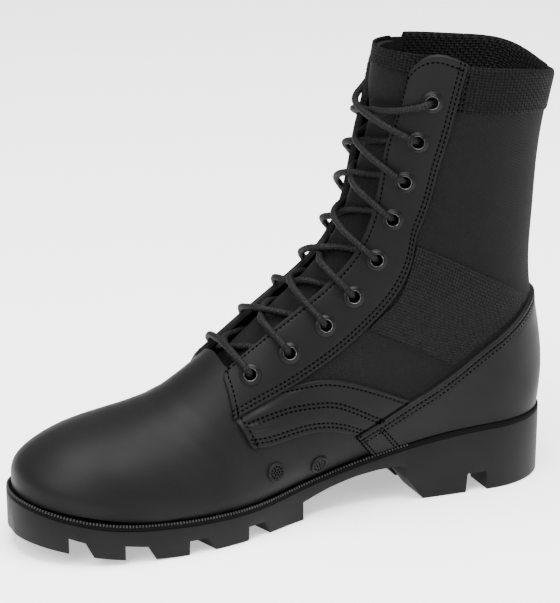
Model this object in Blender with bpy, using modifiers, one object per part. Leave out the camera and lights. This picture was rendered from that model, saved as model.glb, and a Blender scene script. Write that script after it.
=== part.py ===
# A right jungle boot: leather and nylon upper on a moulded lug sole, laced through nine pairs of eyelets.
# Metres, +Z up. The toe points along +X, and the inner (medial) side of the foot is +Y.

import math

import bmesh
import bpy
import numpy as np
from mathutils import Vector

MM = 0.001

# Driving sizes of the last and the sole
SOLE_LENGTH = 309 * MM
BALL_WIDTH = 108 * MM
HEEL_HEIGHT = 39 * MM
BALL_THICKNESS = 18.5 * MM
TOE_SPRING = 12.5 * MM
SHAFT_HEIGHT = 187 * MM
WELT_WIDTH = 3 * MM
WELT_THICKNESS = 2.6 * MM

# Walls and clearances
UPPER_WALL = 2.0 * MM
LEATHER_WALL = 1.8 * MM
WEBBING_WALL = 1.3 * MM
INSOLE_WALL = 3.0 * MM
TONGUE_WALL = 3.0 * MM
CLEARANCE = 0.3 * MM
OVERLAY_LIFT = 0.5 * MM

# Lacing
THROAT_GAP = 37 * MM
THROAT_FLARE = 9 * MM
TONGUE_LAP = 11 * MM
TONGUE_HINGE = 5.1
TONGUE_TOP = 14.7
LACED_FROM = 6.15
EYELET_BORE = 5.0 * MM
EYELET_FLANGE = 11.6 * MM
EYELET_BARREL = 6.4 * MM
EYELET_LIP = 1.1 * MM
LACE_DIAMETER = 4.0 * MM
VENT_DIAMETER = 10.5 * MM
VENT_THICKNESS = 1.3 * MM

# Sole details
LUG_DEPTH = 8 * MM
HEEL_GAP_DEPTH = 11 * MM
LUG_FLANK = 4.5 * MM
HEEL_GAP_FLANK = 1.8 * MM
CHEVRON_SLANT = 0.32

# Mesh making
SMOOTH_ANGLE = 40
MERGE = 0.00002

# The seat's line along the sole: place is a share of SOLE_LENGTH, heel of the rise from BALL_THICKNESS
# to HEEL_HEIGHT, toe and tread of TOE_SPRING.
SEAT_COLUMNS = ("place", "heel", "toe", "tread")
SEAT_TABLE = (
    (-0.04, 1.00, 0.00, 0.00),
    (0.10, 1.00, 0.00, 0.00),
    (0.22, 0.90, 0.00, 0.00),
    (0.34, 0.60, 0.00, 0.00),
    (0.46, 0.22, 0.00, 0.00),
    (0.56, 0.03, 0.00, 0.00),
    (0.68, 0.00, 0.02, 0.00),
    (0.78, 0.00, 0.12, 0.04),
    (0.86, 0.00, 0.31, 0.25),
    (0.94, 0.00, 0.67, 0.56),
    (1.00, 0.00, 1.06, 0.81),
)

# The upper's sections, fanned from the toe's edge to the collar. Runs are shares of SOLE_LENGTH, rises
# and bow of SHAFT_HEIGHT over the seat, centre and widths of BALL_WIDTH. Peak is where a section is
# widest, as a share of its height, and power how full it stays above that.
UPPER_COLUMNS = ("low_run", "low_rise", "top_run", "top_rise", "bow", "centre", "medial", "lateral",
                 "medial_seat", "lateral_seat", "peak", "power")
UPPER_TABLE = (
    (0.798, 0.000, 0.990, 0.000, 0.000, 0.061, 0.392, 0.456, 0.392, 0.456, 0.02, 1.96),
    (0.773, 0.000, 0.988, 0.062, 0.000, 0.057, 0.406, 0.466, 0.397, 0.462, 0.06, 2.10),
    (0.742, 0.000, 0.960, 0.121, 0.000, 0.049, 0.420, 0.480, 0.407, 0.470, 0.10, 2.12),
    (0.707, 0.000, 0.896, 0.189, 0.000, 0.041, 0.432, 0.486, 0.410, 0.474, 0.14, 2.10),
    (0.657, 0.000, 0.809, 0.233, 0.000, 0.030, 0.426, 0.484, 0.402, 0.466, 0.18, 2.12),
    (0.591, 0.000, 0.719, 0.279, 0.000, 0.022, 0.398, 0.462, 0.358, 0.438, 0.21, 2.10),
    (0.510, 0.000, 0.634, 0.374, 0.000, 0.016, 0.356, 0.424, 0.276, 0.390, 0.24, 2.05),
    (0.414, 0.000, 0.556, 0.478, 0.000, 0.010, 0.330, 0.382, 0.240, 0.340, 0.27, 2.00),
    (0.303, 0.000, 0.486, 0.560, 0.000, 0.004, 0.320, 0.352, 0.262, 0.300, 0.30, 2.00),
    (0.182, 0.000, 0.430, 0.633, 0.000, 0.000, 0.316, 0.338, 0.288, 0.294, 0.33, 2.00),
    (0.076, 0.000, 0.401, 0.710, 0.000, 0.000, 0.324, 0.334, 0.296, 0.298, 0.36, 2.00),
    (0.000, 0.000, 0.382, 0.792, 0.000, 0.000, 0.333, 0.338, 0.300, 0.300, 0.40, 2.00),
    (0.000, 0.200, 0.366, 0.868, 0.000, 0.000, 0.338, 0.342, 0.300, 0.300, 0.43, 2.00),
    (0.000, 0.440, 0.351, 0.942, 0.005, 0.000, 0.343, 0.347, 0.300, 0.300, 0.46, 2.00),
    (0.000, 0.710, 0.336, 1.023, 0.014, 0.000, 0.352, 0.354, 0.300, 0.300, 0.48, 2.00),
    (0.000, 1.035, 0.318, 1.170, 0.028, 0.000, 0.362, 0.362, 0.300, 0.300, 0.50, 2.00),
)
HEEL_SECTION = 11
THROAT_SECTION = 5.8
FLARE_SECTION = 12.5
COLLAR_SECTION = 14.87
TOP_SECTION = 15
# Sections up to this one run straight from side to side; from the next one named, right round the heel
CROSSWISE_SECTION = 7
ROUND_SECTION = 11

# The line of the heel and the back of the shaft: height is a share of SHAFT_HEIGHT over the heel's
# seat, place of SOLE_LENGTH.
BACK_COLUMNS = ("height", "place")
BACK_TABLE = (
    (-0.20, 0.016),
    (0.00, 0.010),
    (0.10, 0.004),
    (0.20, 0.007),
    (0.32, 0.019),
    (0.44, 0.027),
    (0.60, 0.023),
    (0.78, 0.015),
    (0.90, 0.003),
    (1.00, -0.011),
    (1.10, -0.024),
)
# How far forward the back stays round, as shares of BALL_WIDTH
HEEL_CORNER = 0.36
COLLAR_CORNER = 0.50

# The eyestay's rear edge, section by section, as a share of the way from the top line to the sole
EYESTAY_COLUMNS = ("section", "edge")
EYESTAY_TABLE = (
    (5.50, 0.490),
    (6.30, 0.530),
    (7.00, 0.556),
    (7.60, 0.548),
    (8.50, 0.484),
    (9.00, 0.442),
    (9.70, 0.392),
    (10.40, 0.352),
    (11.10, 0.330),
    (12.40, 0.352),
    (13.50, 0.373),
    (14.30, 0.391),
    (15.00, 0.403),
)
EYESTAY_FRONT = 5.95
EYESTAY_FRONT_SWEEP = 0.33
EYESTAY_TOP_DROP = 0.05
EYESTAY_TOP_ROUND = 0.40
EYELET_COLUMNS = ("section", "way")
EYELET_TABLE = (
    (6.32, 0.365),
    (7.10, 0.420),
    (7.94, 0.404),
    (8.74, 0.350),
    (9.85, 0.282),
    (11.18, 0.253),
    (12.34, 0.266),
    (13.46, 0.284),
    (14.26, 0.305),
)

# Edges seen from the side: runs are shares of SOLE_LENGTH, rises of SHAFT_HEIGHT over the seat
COUNTER_COLUMNS = ("run", "rise")
COUNTER_TOP = (
    (0.000, 0.360),
    (0.052, 0.342),
    (0.097, 0.305),
    (0.146, 0.260),
    (0.215, 0.189),
    (0.262, 0.155),
    (0.311, 0.133),
    (0.350, 0.116),
    (0.388, 0.102),
    (0.408, 0.093),
)
COUNTER_LOW_RUN = 0.365
# The smaller, the closer the counter's columns stand at the heel
COUNTER_SPREAD = 0.30
PANEL_COLUMNS = ("share", "run_a", "rise_a", "run_b", "rise_b")
# The leather quarter, front to rear: upper edge, lower edge
QUARTER_TABLE = (
    (0.0, 0.626, 0.233, 0.608, 0.163),
    (0.2, 0.576, 0.262, 0.570, 0.158),
    (0.4, 0.521, 0.292, 0.521, 0.162),
    (0.6, 0.463, 0.295, 0.479, 0.155),
    (0.8, 0.401, 0.244, 0.443, 0.133),
    (1.0, 0.339, 0.158, 0.417, 0.108),
)
# The ankle webbing, top to bottom: front edge, rear edge
WEBBING_TABLE = (
    (0.00, 0.285, 0.590, 0.060, 0.358),
    (0.33, 0.312, 0.466, 0.103, 0.321),
    (0.67, 0.348, 0.418, 0.152, 0.276),
    (1.00, 0.375, 0.390, 0.220, 0.207),
)
COLLAR_BAND_FRONT = 0.416
COLLAR_BAND_LOW_FRONT = 14.24
COLLAR_BAND_LOW_BACK = 14.50
VENT_COLUMNS = ("section", "way")
VENT_TABLE = ((5.70, 0.853), (6.54, 0.927))

# Channels between the forefoot lugs: each one's rear edge and width, as shares of SOLE_LENGTH, and
# which way it runs from the side to the middle, +1 to the toe and -1 to the heel
CHANNEL_COLUMNS = ("rear", "width", "way")
CHANNEL_TABLE = (
    (0.561, 0.052, 1),
    (0.680, 0.052, 1),
    (0.796, 0.054, -1),
    (0.905, 0.043, -1),
)
HEEL_GAP = (0.142, 0.048)
# Channels that part the heel's lugs lengthways: runs as shares of SOLE_LENGTH, reaches to the medial
# side and widths of BALL_WIDTH
HEEL_CHANNEL_COLUMNS = ("front_run", "front_reach", "rear_run", "rear_reach", "width")
HEEL_CHANNEL_TABLE = (
    (0.310, 0.014, 0.165, 0.014, 0.100),
    (0.165, 0.095, -0.020, 0.130, 0.064),
    (0.165, -0.095, -0.020, -0.130, 0.064),
)
# The waist's underside, as shares of SOLE_LENGTH and HEEL_HEIGHT
WAIST_COLUMNS = ("run", "height")
WAIST_TABLE = (
    (0.502, 0.270),
    (0.490, 0.295),
    (0.445, 0.395),
    (0.395, 0.485),
    (0.355, 0.530),
    (0.320, 0.545),
    (0.304, 0.510),
    (0.298, 0.318),
)
BREAST_FOOT = 0.268
LUG_REAR = 0.500


def column(table, names, name):
    return [row[names.index(name)] for row in table]


def spline(knots, values):
    """A natural cubic curve through the values, held flat past its ends."""
    knots = np.asarray(knots, float)
    values = np.asarray(values, float)
    count = len(knots)
    step = np.diff(knots)
    rows = np.eye(count)
    right = np.zeros(count)
    for i in range(1, count - 1):
        rows[i, i - 1:i + 2] = step[i - 1], 2 * (step[i - 1] + step[i]), step[i]
        right[i] = 6 * ((values[i + 1] - values[i]) / step[i] - (values[i] - values[i - 1]) / step[i - 1])
    bend = np.linalg.solve(rows, right)

    def curve(place):
        place = np.clip(place, knots[0], knots[-1])
        i = np.clip(np.searchsorted(knots, place, side="right") - 1, 0, count - 2)
        after = place - knots[i]
        before = knots[i + 1] - place
        span = step[i]
        return ((bend[i] * before ** 3 + bend[i + 1] * after ** 3) / (6 * span)
                + (values[i] / span - bend[i] * span / 6) * before
                + (values[i + 1] / span - bend[i + 1] * span / 6) * after)
    return curve


def table_spline(table, names, place, name):
    return spline(column(table, names, place), column(table, names, name))


def ease(t):
    t = np.clip(t, 0, 1)
    return t * t * (3 - 2 * t)


heel_share = table_spline(SEAT_TABLE, SEAT_COLUMNS, "place", "heel")
toe_share = table_spline(SEAT_TABLE, SEAT_COLUMNS, "place", "toe")
tread_share = table_spline(SEAT_TABLE, SEAT_COLUMNS, "place", "tread")


def seat_height(x):
    """Height over the floor of the line where the upper meets the welt."""
    share = np.asarray(x) / SOLE_LENGTH
    return (BALL_THICKNESS + (HEEL_HEIGHT - BALL_THICKNESS) * heel_share(share)
            + TOE_SPRING * toe_share(share))


def tread_height(x):
    """Height over the floor of the treads: only the toe springs up."""
    return TOE_SPRING * np.maximum(tread_share(np.asarray(x) / SOLE_LENGTH), 0)


class Last:
    """The upper's outer form. u counts the sections from toe to collar. v runs along a section, from
    the medial edge (-1) over the top line (0) to the lateral edge (1)."""

    def __init__(self):
        rows = np.arange(len(UPPER_TABLE))
        col = {name: np.array(column(UPPER_TABLE, UPPER_COLUMNS, name)) for name in UPPER_COLUMNS}
        heights = HEEL_HEIGHT + SHAFT_HEIGHT * np.array(column(BACK_TABLE, BACK_COLUMNS, "height"))
        self.back = spline(heights, SOLE_LENGTH * np.array(column(BACK_TABLE, BACK_COLUMNS, "place")))
        self.corner_x = float(self.back(HEEL_HEIGHT))
        low = col["low_run"][:HEEL_SECTION + 1] * SOLE_LENGTH
        low[-1] = self.corner_x
        # Mirrored past the heel's corner, so that the sections close up there
        self.low_x = spline(np.arange(HEEL_SECTION + 2), np.append(low, low[-2]))
        self.low_rise = spline(rows[HEEL_SECTION:], col["low_rise"][HEEL_SECTION:] * SHAFT_HEIGHT)
        top_x = col["top_run"] * SOLE_LENGTH
        self.top_x = spline(rows, top_x)
        self.top_z = spline(rows, seat_height(top_x) + col["top_rise"] * SHAFT_HEIGHT)
        self.bow = spline(rows, col["bow"] * SHAFT_HEIGHT)
        self.centre = spline(rows, col["centre"] * BALL_WIDTH)
        self.medial = spline(rows, col["medial"] * BALL_WIDTH)
        self.lateral = spline(rows, col["lateral"] * BALL_WIDTH)
        self.medial_seat = spline(rows, col["medial_seat"] * BALL_WIDTH)
        self.lateral_seat = spline(rows, col["lateral_seat"] * BALL_WIDTH)
        self.peak = spline(rows, col["peak"])
        self.power = spline(rows, col["power"])

    def low_end(self, u):
        """Where a section starts: on the seat, or past the heel's corner on the back line."""
        seat_x = self.low_x(np.minimum(u, HEEL_SECTION))
        height = seat_height(self.corner_x) + self.low_rise(np.maximum(u, HEEL_SECTION))
        on_seat = u <= HEEL_SECTION
        return np.where(on_seat, seat_x, self.back(height)), np.where(on_seat, seat_height(seat_x), height)

    def line(self, u, share):
        low_x, low_z = self.low_end(u)
        x = low_x + share * (self.top_x(u) - low_x)
        z = low_z + share * (self.top_z(u) - low_z) + self.bow(u) * 4 * share * (1 - share)
        return x, z

    def share(self, u, v):
        """How far up its section a point lies: 0 at its start and 1 on the top line."""
        turn = ease((np.asarray(u) - CROSSWISE_SECTION) / (ROUND_SECTION - CROSSWISE_SECTION))
        reach = np.abs(v)
        return (1 - turn) * np.cos(reach * math.pi / 2) + turn * (1 + np.cos(reach * math.pi)) / 2

    def point(self, u, share, lateral):
        x, z = self.line(u, share)
        width = np.where(lateral, self.lateral(u), self.medial(u))
        seat_width = np.where(lateral, self.lateral_seat(u), self.medial_seat(u))
        peak = self.peak(u)
        over = np.clip((share - peak) / (1 - peak), 0, 1)
        under = np.clip((peak - share) / peak, 0, 1)
        form = np.where(share >= peak, np.sqrt(np.clip(1 - over ** self.power(u), 0, 1)),
                        1 - (1 - seat_width / width) * under ** 2)
        rise = np.clip((z - HEEL_HEIGHT) / SHAFT_HEIGHT, 0, 1)
        corner = (HEEL_CORNER + (COLLAR_CORNER - HEEL_CORNER) * rise) * BALL_WIDTH
        inward = np.where(u > THROAT_SECTION, np.clip((x - self.back(z)) / corner, 0, 1), 1)
        rounding = np.sqrt(1 - (1 - inward) ** 2)
        y = self.centre(u) + np.where(lateral, -1, 1) * width * form * rounding
        return np.stack([x, y, z], -1)

    def at(self, u, v):
        u, v = np.broadcast_arrays(np.asarray(u, float), np.asarray(v, float))
        return self.point(u, self.share(u, v), v > 0)

    def from_side(self, x, z, lateral):
        """The point of one side that shows at x, z in the side view."""
        x, z, lateral = np.broadcast_arrays(np.asarray(x, float), np.asarray(z, float), lateral)
        low, high = np.zeros(x.shape), np.full(x.shape, float(TOP_SECTION))
        for _ in range(40):
            u = (low + high) / 2
            low_x, _z = self.low_end(u)
            share = np.clip((x - low_x) / (self.top_x(u) - low_x), 0, 1)
            over = z > self.line(u, share)[1]
            low = np.where(over, u, low)
            high = np.where(over, high, u)
        return self.point(u, share, lateral)

    def normal(self, u, v):
        step = 0.01
        along = self.at(u + step, v) - self.at(u - step, v)
        across = self.at(u, v + step) - self.at(u, v - step)
        out = np.cross(along, across)
        return out / np.linalg.norm(out)

    def throat_edge(self, u):
        """v of the throat's edge, where a side is half the gap from the middle."""
        u = np.asarray(u, float)
        flare = ease((u - FLARE_SECTION) / (TOP_SECTION - FLARE_SECTION))
        half_gap = THROAT_GAP / 2 + THROAT_FLARE / 2 * flare
        return self.way_at(u, half_gap)

    def way_at(self, u, reach):
        """v at which the lateral side stands off the middle by reach."""
        low, high = np.zeros(np.shape(u)), np.full(np.shape(u), 0.6)
        for _ in range(40):
            v = (low + high) / 2
            wide = np.abs(self.at(u, v)[..., 1] - self.centre(u)) > reach
            high = np.where(wide, v, high)
            low = np.where(wide, low, v)
        return v


last = Last()
eyestay_edge = table_spline(EYESTAY_TABLE, EYESTAY_COLUMNS, "section", "edge")
counter_top = table_spline(COUNTER_TOP, COUNTER_COLUMNS, "run", "rise")


def feather_line(count=400):
    """The loop where the upper meets the welt, evenly spaced, from the heel along the medial side and
    round the toe."""
    u = HEEL_SECTION * (1 + np.cos(np.linspace(0, math.pi, count))) / 2
    toe = last.at(0, np.linspace(-1, 1, count)[1:-1])
    loop = np.concatenate([last.at(u, -1), toe, last.at(u[::-1], 1)])
    way = np.append(0, np.cumsum(np.linalg.norm(np.diff(loop, axis=0), axis=1)))
    even = np.linspace(0, way[-1], count, endpoint=False)
    return np.column_stack([np.interp(even, way, loop[:, axis]) for axis in range(3)])


def offset_loop(loop, distance):
    """The loop moved outward in plan."""
    ahead = np.roll(loop[:, :2], -1, 0) - np.roll(loop[:, :2], 1, 0)
    ahead /= np.linalg.norm(ahead, axis=1)[:, None]
    # The loop runs clockwise, so its left side is outside
    return loop[:, :2] + distance * np.column_stack([-ahead[:, 1], ahead[:, 0]])


def clear_scene():
    for item in list(bpy.data.objects):
        bpy.data.objects.remove(item, do_unlink=True)


def new_collection(name):
    collection = bpy.data.collections.new(name)
    bpy.context.scene.collection.children.link(collection)
    return collection


clear_scene()
boot = new_collection("jungle_boot")
cutters = new_collection("cutters")
root = bpy.data.objects.new("boot_origin", None)
boot.objects.link(root)


def material(name, colour, roughness, metallic=0.0):
    made = bpy.data.materials.new(name)
    made.use_nodes = True
    shader = made.node_tree.nodes["Principled BSDF"]
    shader.inputs["Base Color"].default_value = (*colour, 1)
    shader.inputs["Roughness"].default_value = roughness
    shader.inputs["Metallic"].default_value = metallic
    return made


LEATHER = material("black_leather", (0.022, 0.022, 0.023), 0.42)
NYLON = material("black_nylon", (0.013, 0.013, 0.014), 0.85)
WEBBING = material("black_webbing", (0.016, 0.016, 0.017), 0.80)
RUBBER = material("black_rubber", (0.030, 0.030, 0.031), 0.60)
FOAM = material("grey_insole", (0.060, 0.060, 0.062), 0.90)
ENAMEL = material("black_enamel", (0.030, 0.030, 0.032), 0.25, 0.9)
CORD = material("black_cord", (0.018, 0.018, 0.019), 0.75)


def add_object(name, mesh, finish=None, group=None):
    made = bpy.data.objects.new(name, mesh)
    (group or boot).objects.link(made)
    if finish:
        mesh.materials.append(finish)
        made.parent = root
    return made


def add_mesh(name, points, faces, finish=None, group=None, smooth=True):
    mesh = bpy.data.meshes.new(name)
    work = bmesh.new()
    corners = [work.verts.new(tuple(point)) for point in points]
    for face in faces:
        work.faces.new([corners[i] for i in face])
    bmesh.ops.remove_doubles(work, verts=work.verts, dist=MERGE)
    bmesh.ops.dissolve_degenerate(work, edges=work.edges, dist=MERGE)
    loose = [corner for corner in work.verts if not corner.link_faces]
    bmesh.ops.delete(work, geom=loose, context="VERTS")
    work.to_mesh(mesh)
    work.free()
    if smooth:
        mesh.shade_smooth()
        mesh.set_sharp_from_angle(angle=math.radians(SMOOTH_ANGLE))
    return add_object(name, mesh, finish, group)


def grid_faces(rows, columns, closed=False):
    faces = []
    for i in range(rows - 1):
        for j in range(columns if closed else columns - 1):
            k = (j + 1) % columns
            faces.append((i * columns + j, i * columns + k, (i + 1) * columns + k, (i + 1) * columns + j))
    return faces


def as_cutter(cutter):
    cutter.hide_render = True
    cutter.display_type = "WIRE"
    return cutter


def combine(target, tool, operation):
    step = target.modifiers.new(operation.lower(), "BOOLEAN")
    step.operation = operation
    step.solver = "EXACT"
    step.object = tool
    return step


def close_outward(mesh):
    """Turns all the faces of a closed mesh outward."""
    work = bmesh.new()
    work.from_mesh(mesh)
    bmesh.ops.recalc_face_normals(work, faces=work.faces)
    work.to_mesh(mesh)
    work.free()


def face_outward(mesh, inside):
    """Turns an open wall so that its normals point away from the line inside."""
    work = bmesh.new()
    work.from_mesh(mesh)
    bmesh.ops.recalc_face_normals(work, faces=work.faces)
    lean = sum(face.normal.dot(face.calc_center_median() - inside(face.calc_center_median()))
               for face in work.faces)
    if lean < 0:
        bmesh.ops.reverse_faces(work, faces=work.faces)
    work.normal_update()
    work.to_mesh(mesh)
    work.free()


def core(point):
    """The point within the boot that a wall's point faces away from."""
    ankle_x, instep_x, toe_x = 0.15 * SOLE_LENGTH, 0.45 * SOLE_LENGTH, 0.9 * SOLE_LENGTH
    if point.x < instep_x:
        return Vector((ankle_x, 0, min(max(point.z, HEEL_HEIGHT), HEEL_HEIGHT + SHAFT_HEIGHT)))
    return Vector((min(point.x, toe_x), 0, HEEL_HEIGHT))


def wall(name, points, faces, finish, lift, thickness, outward=True):
    """A wall that follows the last: an open sheet lifted off it and given its thickness."""
    made = add_mesh(name, points, faces, finish)
    face_outward(made.data, core)
    lifts = lift(made.data) if callable(lift) else lift
    normals = [corner.normal.copy() for corner in made.data.vertices]
    for i, corner in enumerate(made.data.vertices):
        corner.co += normals[i] * (lifts[i] if callable(lift) else lifts)
    thicken = made.modifiers.new("thickness", "SOLIDIFY")
    thicken.thickness = thickness
    thicken.offset = 1 if outward else -1
    thicken.use_even_offset = True
    return made


def prism(name, outline, start, end, slant=0.0):
    """A cutter with its outline in the side view, drawn along Y and slanted along X."""
    count = len(outline)
    points = [(x + slant * y, y, z) for y in (start, end) for x, z in outline]
    sides = [(i, (i + 1) % count, count + (i + 1) % count, count + i) for i in range(count)]
    made = add_mesh(name, points, [tuple(range(count)), tuple(range(count, 2 * count))] + sides,
                    group=cutters, smooth=False)
    close_outward(made.data)
    return as_cutter(made)


def slot(name, front, rear, width, bottom, top):
    """A cutter for a channel that runs lengthways, from front to rear, both x and y."""
    points = [(x, y + side * width / 2, z) for z in (bottom, top)
              for (x, y), side in ((front, 1), (front, -1), (rear, -1), (rear, 1))]
    sides = [(i, (i + 1) % 4, 4 + (i + 1) % 4, 4 + i) for i in range(4)]
    made = add_mesh(name, points, [(0, 1, 2, 3), (4, 5, 6, 7)] + sides, group=cutters, smooth=False)
    close_outward(made.data)
    return as_cutter(made)


def ladder(name, loop, top, bottom, finish, stations):
    """A solid plate: the loop's outline in plan, between two heights that follow X."""
    tip, heel = loop[:, 0].argmax(), loop[:, 0].argmin()
    loop = np.roll(loop, -heel, axis=0)
    tip = (tip - heel) % len(loop)
    medial, lateral = loop[:tip + 1], loop[tip:][::-1]
    t = np.linspace(0, math.pi, stations + 1)[1:-1]
    reach = (loop[:, 0].max() + loop[:, 0].min()) / 2, (loop[:, 0].max() - loop[:, 0].min()) / 2
    xs = reach[0] - reach[1] * np.cos(t)
    points = []
    for x in xs:
        inner = np.interp(x, medial[:, 0], medial[:, 1])
        outer = np.interp(x, lateral[:, 0], lateral[:, 1])
        points += [(x, inner, top(x)), (x, outer, top(x)), (x, outer, bottom(x)), (x, inner, bottom(x))]
    faces = grid_faces(len(xs), 4, closed=True)
    end = len(points)
    for place, first in ((loop[0], 0), (medial[-1], end - 4)):
        index = len(points)
        points += [(place[0], place[1], top(place[0])), (place[0], place[1], bottom(place[0]))]
        ring = [first, first + 1, first + 2, first + 3]
        faces += [(index, ring[0], ring[1]), (index + 1, ring[2], ring[3]),
                  (index, ring[1], ring[2], index + 1), (index + 1, ring[3], ring[0], index)]
    made = add_mesh(name, points, faces, finish)
    close_outward(made.data)
    return made


def bed_height(x):
    """Height of the sole's upper face, under the welt and the upper."""
    return float(seat_height(x)) - WELT_THICKNESS


def make_outsole():
    outline = offset_loop(feather_line(), WELT_WIDTH)
    sole = ladder("outsole", outline, lambda x: bed_height(x) - CLEARANCE,
                  lambda x: float(tread_height(x)), RUBBER, stations=52)
    under = -HEEL_GAP_DEPTH
    half_width = 0.5 * BALL_WIDTH
    side = 1.5 * half_width
    for i, (rear, width, way) in enumerate(CHANNEL_TABLE):
        start, end = rear * SOLE_LENGTH, (rear + width) * SOLE_LENGTH
        floor_rear = float(tread_height(start)) + LUG_DEPTH
        floor_front = float(tread_height(end)) + LUG_DEPTH
        outline = [(start, under), (end, under), (end, floor_front), (start + LUG_FLANK, floor_rear),
                   (start, floor_rear - LUG_DEPTH)]
        middle = [(x + way * CHEVRON_SLANT * half_width, z) for x, z in outline]
        for name, sign in (("medial", 1), ("lateral", -1)):
            channel = prism(f"channel_{i}_{name}", middle, 0, sign * side, -sign * way * CHEVRON_SLANT)
            combine(sole, channel, "DIFFERENCE")
    rear, width = HEEL_GAP
    start, end = rear * SOLE_LENGTH, (rear + width) * SOLE_LENGTH
    gap = [(start, under), (end, under), (end - HEEL_GAP_FLANK, HEEL_GAP_DEPTH),
           (start + HEEL_GAP_FLANK, HEEL_GAP_DEPTH)]
    combine(sole, prism("heel_gap", gap, -side, side), "DIFFERENCE")
    for i, (front_run, front_reach, rear_run, rear_reach, width) in enumerate(HEEL_CHANNEL_TABLE):
        front = front_run * SOLE_LENGTH, front_reach * BALL_WIDTH
        rear = rear_run * SOLE_LENGTH, rear_reach * BALL_WIDTH
        channel = slot(f"heel_channel_{i}", front, rear, width * BALL_WIDTH, under, HEEL_GAP_DEPTH)
        combine(sole, channel, "DIFFERENCE")
    waist = [(run * SOLE_LENGTH, height * HEEL_HEIGHT) for run, height in WAIST_TABLE]
    waist = [(LUG_REAR * SOLE_LENGTH, under)] + waist + [(BREAST_FOOT * SOLE_LENGTH, 0.0),
                                                         (BREAST_FOOT * SOLE_LENGTH, under)]
    combine(sole, prism("waist", waist, -side, side), "DIFFERENCE")
    return sole


def make_welt():
    """A flat bead that runs round on the sole's edge, beside the upper."""
    loop = feather_line()
    skip = 5
    inner = offset_loop(loop, 2 * CLEARANCE)[::skip]
    outer = offset_loop(loop, WELT_WIDTH)[::skip]
    count = len(inner)
    points = []
    for (inner_x, inner_y), (outer_x, outer_y) in zip(inner, outer):
        points += [(inner_x, inner_y, bed_height(inner_x)), (inner_x, inner_y, float(seat_height(inner_x))),
                   (outer_x, outer_y, float(seat_height(outer_x))), (outer_x, outer_y, bed_height(outer_x))]
    faces = grid_faces(count, 4, closed=True)
    first, final = 0, 4 * (count - 1)
    faces += [(final + j, final + (j + 1) % 4, first + (j + 1) % 4, first + j) for j in range(4)]
    made = add_mesh("welt", points, faces, RUBBER)
    close_outward(made.data)
    return made


def make_insole():
    outline = offset_loop(feather_line(), -(UPPER_WALL + 5 * CLEARANCE))
    return ladder("insole", outline, lambda x: bed_height(x) + INSOLE_WALL,
                  bed_height, FOAM, stations=24)


def upper_columns(u, side_count, vamp_count):
    """The columns' places along section u: those between the throat's edges, and those beside it."""
    edge = float(last.throat_edge(u))
    beside = edge + (1 - edge) * np.linspace(0, 1, side_count + 1)
    between = np.linspace(-edge, edge, vamp_count + 1)[1:-1]
    return np.concatenate([-beside[::-1], between, beside])


def make_upper():
    """One hollow wall: vamp, quarters and shaft, open at the collar, down the throat and underneath."""
    side_count, vamp_count = 8, 4
    sections = np.concatenate([np.linspace(0, 3, 8), np.linspace(3, THROAT_SECTION, 5)[1:],
                               np.linspace(THROAT_SECTION, HEEL_SECTION - 1, 7)[1:],
                               np.linspace(HEEL_SECTION - 1, HEEL_SECTION, 5)[1:],
                               np.linspace(HEEL_SECTION, COLLAR_SECTION, 12)[1:]])
    throat_row = int(np.abs(sections - THROAT_SECTION).argmin())
    grid = np.array([last.at(u, upper_columns(u, side_count, vamp_count)) for u in sections])
    rows, columns = grid.shape[:2]
    points = [tuple(point) for point in grid.reshape(-1, 3)]
    faces = []
    for i, face in enumerate(grid_faces(rows, columns)):
        row, place = divmod(i, columns - 1)
        in_throat = side_count <= place < side_count + vamp_count
        if not (in_throat and row >= throat_row):
            faces.append(face)
    # The skirt carries the wall down beside the welt, to the sole
    on_seat = [row for row in range(rows) if sections[row] <= HEEL_SECTION + 0.001]
    loop = [row * columns for row in on_seat[::-1]] + list(range(1, columns))
    loop += [row * columns + columns - 1 for row in on_seat[1:]]
    base = len(points)
    points += [(points[i][0], points[i][1], points[i][2] - WELT_THICKNESS) for i in loop]
    faces += [(loop[i], loop[i + 1], base + i + 1, base + i) for i in range(len(loop) - 1)]
    return wall("upper", points, faces, LEATHER, 0.0, UPPER_WALL, outward=False)


def make_tongue():
    """A thick woven strip under the laces, sewn in beneath the vamp."""
    row_count, width_count = 16, 7
    # The rows stand closer at the hinge, where the strip goes under the vamp
    sections = TONGUE_HINGE + (TONGUE_TOP - TONGUE_HINGE) * np.linspace(0, 1, row_count + 1) ** 1.2
    lap = TONGUE_LAP * (1 + ease((sections - TONGUE_HINGE) / 2)) / 2
    edges = [float(last.way_at(u, THROAT_GAP / 2 + reach)) for u, reach in zip(sections, lap)]
    grid = [last.at(u, np.linspace(-edge, edge, width_count)) for u, edge in zip(sections, edges)]
    points = [tuple(point) for row in grid for point in row]
    faces = grid_faces(len(sections), width_count)
    front_depth = UPPER_WALL + CLEARANCE + TONGUE_WALL
    laced_depth = UPPER_WALL + LACE_DIAMETER + 2 * CLEARANCE + TONGUE_WALL

    def depths(mesh):
        front_x = last.top_x(TONGUE_HINGE)
        laced_x = last.top_x(LACED_FROM)
        return [-(front_depth + (laced_depth - front_depth)
                  * float(ease((front_x - corner.co.x) / (front_x - laced_x)))) for corner in mesh.vertices]
    return wall("tongue", points, faces, NYLON, depths, TONGUE_WALL)


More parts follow.
